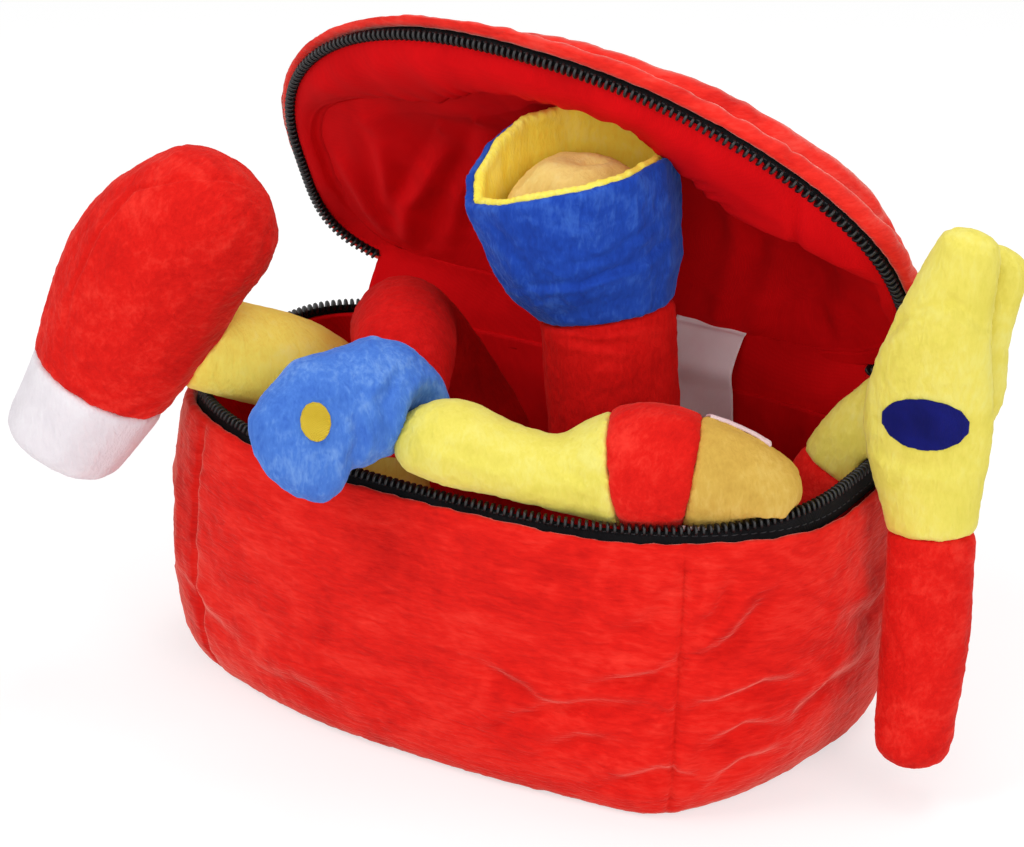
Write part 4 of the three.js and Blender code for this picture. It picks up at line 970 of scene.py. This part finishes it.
def soft_copy(name, node, body, slot_name, material, seed, voxel=1.0, rounds=16, swell=0.5, fill=0.8,
              depth=0.2, lumps=0.25, sculpt=None, settle=0):
    """A stuffed piece in its solid's place: remeshed finely, rounded off, filled out and given its pile."""
    work = bmesh.new()
    work.from_mesh(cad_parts[node].data)
    bmesh.ops.remove_doubles(work, verts=work.verts, dist=1e-6)
    mesh = bpy.data.meshes.new(name)
    work.to_mesh(mesh)
    work.free()
    obj = link(name, mesh)
    modifier = obj.modifiers.new("voxels", "REMESH")
    modifier.mode = "VOXEL"
    modifier.voxel_size = voxel * MM
    obj.data = bpy.data.meshes.new_from_object(obj.evaluated_get(bpy.context.evaluated_depsgraph_get()))
    obj.modifiers.clear()
    obj.data.name = name
    obj.data.materials.clear()
    obj.data.materials.append(material)
    obj.data.shade_smooth()
    smooth_mesh(obj, rounds)
    along_normals(obj, swell + (sculpt(obj) if sculpt else np.zeros(len(obj.data.vertices))))
    smooth_mesh(obj, settle)
    pile(obj, depth, lumps, seed)
    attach(obj, body)
    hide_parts(node)


def seen_at(points):
    """Where the camera sees points, in pixels of the picture."""
    right, up, back = view_axes()
    off = points - VIEW_TARGET - back * VIEW_DISTANCE
    scale = -VIEW_FOCAL / (off @ back)
    return np.stack([IMAGE_WIDTH / 2 + scale * (off @ right), IMAGE_HEIGHT / 2 - scale * (off @ up)], -1)


def drawn(*lines):
    """Sculpts creases on the side towards the camera along lines given in the picture's pixels."""
    def sculpt(obj):
        at = seen_at(corners_of(obj))
        front = np.clip(3 * (normals_of(obj) @ view_axes()[2]), 0, 1)
        return front * sum(crease(at, *line) for line in lines)
    return sculpt


def spread(obj, weight, rounds):
    """Lets a weight flow along a mesh's edges."""
    a, b = edge_ends(obj)
    count = np.maximum(np.bincount(np.concatenate([a, b]), minlength=len(weight)), 1)
    for _ in range(rounds):
        total = np.bincount(a, weight[b], len(weight)) + np.bincount(b, weight[a], len(weight))
        weight = 0.4 * weight + 0.6 * total / count
    return weight


CUP_AXIS = np.array([-0.25, -0.086, 0.964])
LIP_ROLL, LIP_ROUNDS = 2.4, 12
PAD_RADIUS, PAD_RISE, PAD_DIMPLE, PAD_LUMPS = 24.0, 19.0, 5.0, 3.4
DIMPLE_PLACE, DIMPLE_RADIUS = np.array([5.0, 2.0, 0.0]), 4.5


def cup_lip(obj):
    """The rolled lip of the cup's facing."""
    p, n = corners_of(obj), normals_of(obj)
    rim = (n @ CUP_AXIS > 0.5) & ((p - p.mean(0)) @ CUP_AXIS > 2)
    return LIP_ROLL * np.clip(2.5 * spread(obj, rim.astype(float), LIP_ROUNDS), 0, 1)


def pad_mound(obj):
    """The pad in the cup bulges towards the mouth, with a dimple in its crown."""
    p, n = corners_of(obj), normals_of(obj)
    off = p - p.mean(0)
    flat = off - (off @ CUP_AXIS)[:, None] * CUP_AXIS
    out = np.linalg.norm(flat, axis=1) / PAD_RADIUS
    dimple = bell(np.linalg.norm(flat - DIMPLE_PLACE, axis=1), DIMPLE_RADIUS)
    rise = PAD_RISE * np.clip(1 - out**3, 0, 1) ** 0.9 - PAD_DIMPLE * dimple
    return (rise + PAD_LUMPS * noise(p, 10, 301) * (out < 1)) * np.clip(2 * (n @ CUP_AXIS), 0, 1)


# ------------ label

LABEL_MIDDLE, LABEL_WIDTH, LABEL_DROP, LABEL_STAND, LABEL_THICKNESS = 36.0, 26.0, 16.0, 1.6, 0.35


def care_label():
    """A blank satin strip sewn under the lid's lining hem, hanging into the bag."""
    across, down = 22, 34
    inset = LINING_INSET + LINING_CLOTH + GAP + 3.4
    sides = []
    for x in (LABEL_MIDDLE - LABEL_WIDTH / 2, LABEL_MIDDLE + LABEL_WIDTH / 2):
        angle = angle_at_width(x, False)
        side = [lid_point(angle, inset, LINING_HEM * share) for share in (1.6, 1.0, 0.45)]
        side += [wall_point(angle, inset + LABEL_STAND, rim_at(angle) - LABEL_DROP * share)
                 for share in (-0.25, 0.25, 0.6, 1.0)]
        sides.append(catmull([(x, *point[1:]) for point in side], down)[:, None])
    left, right = sides
    grid = left + (right - left) * np.linspace(0, 1, across)[:, None]
    share = np.linspace(0, 1, down)[:, None]
    wave = 0.5 * np.sin(np.linspace(0, 5.5, across)) * share + 0.8 * share**2 * np.linspace(-1, 1, across) ** 2
    grid[:, :, 1] -= wave
    count = across * down
    faces = grid_faces(down, across, wrap=False)
    faces = [f[::-1] for f in faces] + [[v + count for v in f] for f in faces]
    corner = np.arange(count).reshape(down, across)
    border = [*corner[0], *corner[1:, -1], *corner[-1, -2::-1], *corner[-2:0:-1, 0]]
    faces += [[int(v) for v in (a, b, b + count, a + count)] for a, b in zip(border, border[1:] + border[:1])]
    obj = make("care_label_satin", [grid, grid - [0, LABEL_THICKNESS, 0]], faces, "lid", SATIN,
               ("care_label",))


# ------------ all the pieces

bag_shell()
lining_cup()
lid_shell()
lid_lining()
tape("bag_zip_tape", rim_point, lambda turn: TAPE_DEPTH, "bag", "body_zip_tape")
tape("lid_zip_tape_cloth", lid_point, lid_tape_depth, "lid", "lid_zip_tape")
teeth("bag_zip_teeth", rim_point, "bag", "body_zip_coil", 0.0, SLIDER_ROOM)
teeth("lid_zip_teeth", lid_point, "lid", "lid_zip_coil", 0.5, 1.0)
zip_stitches("bag_zip_stitches", rim_point, lambda turn: edge_drop(turn) - 0.7, "bag")
zip_stitches("lid_zip_stitches", lid_point, lambda turn: lid_edge_drop(turn) - 0.7, "lid")
hinge_cloth()

# Creases of the tools: pixels of the picture, then width, depth and swell
HAMMER = drawn(([(62, 345), (72, 290), (98, 232), (134, 190), (186, 178), (228, 180), (270, 194)],
                2.2, 1.0, 0.3))
CUP = drawn(([(520, 288), (580, 283), (640, 262), (676, 232)], 4, 0.9, 0.8),
            ([(560, 268), (610, 256), (668, 214)], 4, 0.6, 0.6),
            ([(486, 212), (520, 262), (536, 300)], 7, 0.9, 0.9))
TORCH = drawn(([(546, 326), (600, 334), (672, 322)], 2.4, 0.6, 0.4),
              ([(556, 336), (600, 345), (668, 340)], 5, 0.4, 0.4))
JAW = drawn(([(872, 352), (905, 318), (952, 300), (985, 330)], 5, 1.2, 0.9),
            ([(868, 440), (900, 462), (950, 470), (992, 452)], 7, 0.5, 0.5))
GRIP = drawn(([(888, 548), (930, 552), (974, 548)], 5, 0.6, 0.5),
             ([(905, 600), (925, 660), (915, 730)], 7, 0.7, 0.6))
BLADE = drawn(([(430, 440), (470, 455), (520, 470)], 6, 0.6, 0.6),
              ([(560, 470), (585, 480), (612, 470)], 5, 0.8, 0.6))
WRENCH = drawn(([(345, 470), (362, 440), (352, 410)], 5, 1.6, 0.8),
               ([(400, 372), (380, 400), (392, 440)], 6, 0.9, 0.7))
THIN = {"rounds": 3, "swell": 0.1, "fill": None}
SOFT = [
    ("hammer_head", "hammer", "red_plush", RED_TOY, 101, {"sculpt": HAMMER}),
    ("hammer_face", "hammer", "white_plush", WHITE, 105, {"depth": 0.05, "lumps": 0.4}),
    ("hammer_handle", "hammer", "gold_plush", HANDLE_PAINTED_LIGHT, 109, {"depth": 0.12}),
    ("torch_handle", "torch", "red_plush", RED_SATIN_AND_SHADE, 113, {"sculpt": TORCH}),
    ("torch_cup", "torch", "blue_plush", CUP_BLUE, 117,
     {"voxel": 0.8, "rounds": 6, "swell": 0.2, "sculpt": CUP}),
    ("torch_cup_lining", "torch", "yellow_plush", CUP_YELLOW_PAINTED_LIGHT, 121,
     {"voxel": 0.6, "rounds": 5, "swell": 0.35, "sculpt": cup_lip, "fill": 0.3, "settle": 16, "depth": 0.1}),
    ("torch_pad", "torch", "yellow_plush", TAN, 125, {"voxel": 0.9, "sculpt": pad_mound, "settle": 4}),
    ("screwdriver_blade", "screwdriver", "yellow_plush", YELLOW, 129, {"sculpt": BLADE}),
    ("screwdriver_band", "screwdriver", "red_plush", RED_TOY, 133, {}),
    ("screwdriver_handle", "screwdriver", "gold_plush", GOLD, 137, {}),
    *((f"screwdriver_stripe_{side}", "screwdriver", "white_plush", STRIPE, 141,
       {"voxel": 0.4, "depth": 0.08, "lumps": 0.05, **THIN}) for side in ("top", "bottom")),
    ("wrench_head", "wrench", "blue_plush", BLUE, 145, {"sculpt": WRENCH}),
    ("wrench_handle", "wrench", "red_plush", RED_SATIN_AND_SHADE, 149, {}),
    *((f"wrench_spot_{side}", "wrench", "yellow_plush", SPOT, 153,
       {"voxel": 0.35, "depth": 0.06, "lumps": 0.0, **THIN}) for side in ("front", "back")),
    ("pliers_outer_jaw", "pliers", "yellow_plush", YELLOW, 157, {"sculpt": JAW}),
    ("pliers_outer_grip", "pliers", "red_plush", RED_TOY, 161, {"sculpt": GRIP}),
    ("pliers_inner_jaw", "pliers_inner", "yellow_plush", YELLOW, 165, {}),
    ("pliers_inner_grip", "pliers_inner", "red_plush", RED_TOY, 169, {}),
    *((f"pliers_pad_{side}", body, "navy_cloth", NAVY, 173, {"voxel": 0.4, "depth": 0.06, "lumps": 0.0, **THIN})
      for side, body in (("front", "pliers"), ("back", "pliers_inner"))),
]
for node, body, slot_name, material, seed, shape in SOFT:
    ending = "thread" if material in (SPOT, NAVY) else "plush"
    name = "torch_cup_facing" if node == "torch_cup_lining" else f"{node}_{ending}"
    soft_copy(name, node, body, slot_name, material, seed, **shape)

care_label()

for node in ("zip_slider", "zip_pull"):
    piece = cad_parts[node]
    piece.data.materials.clear()
    piece.data.materials.append(METAL)
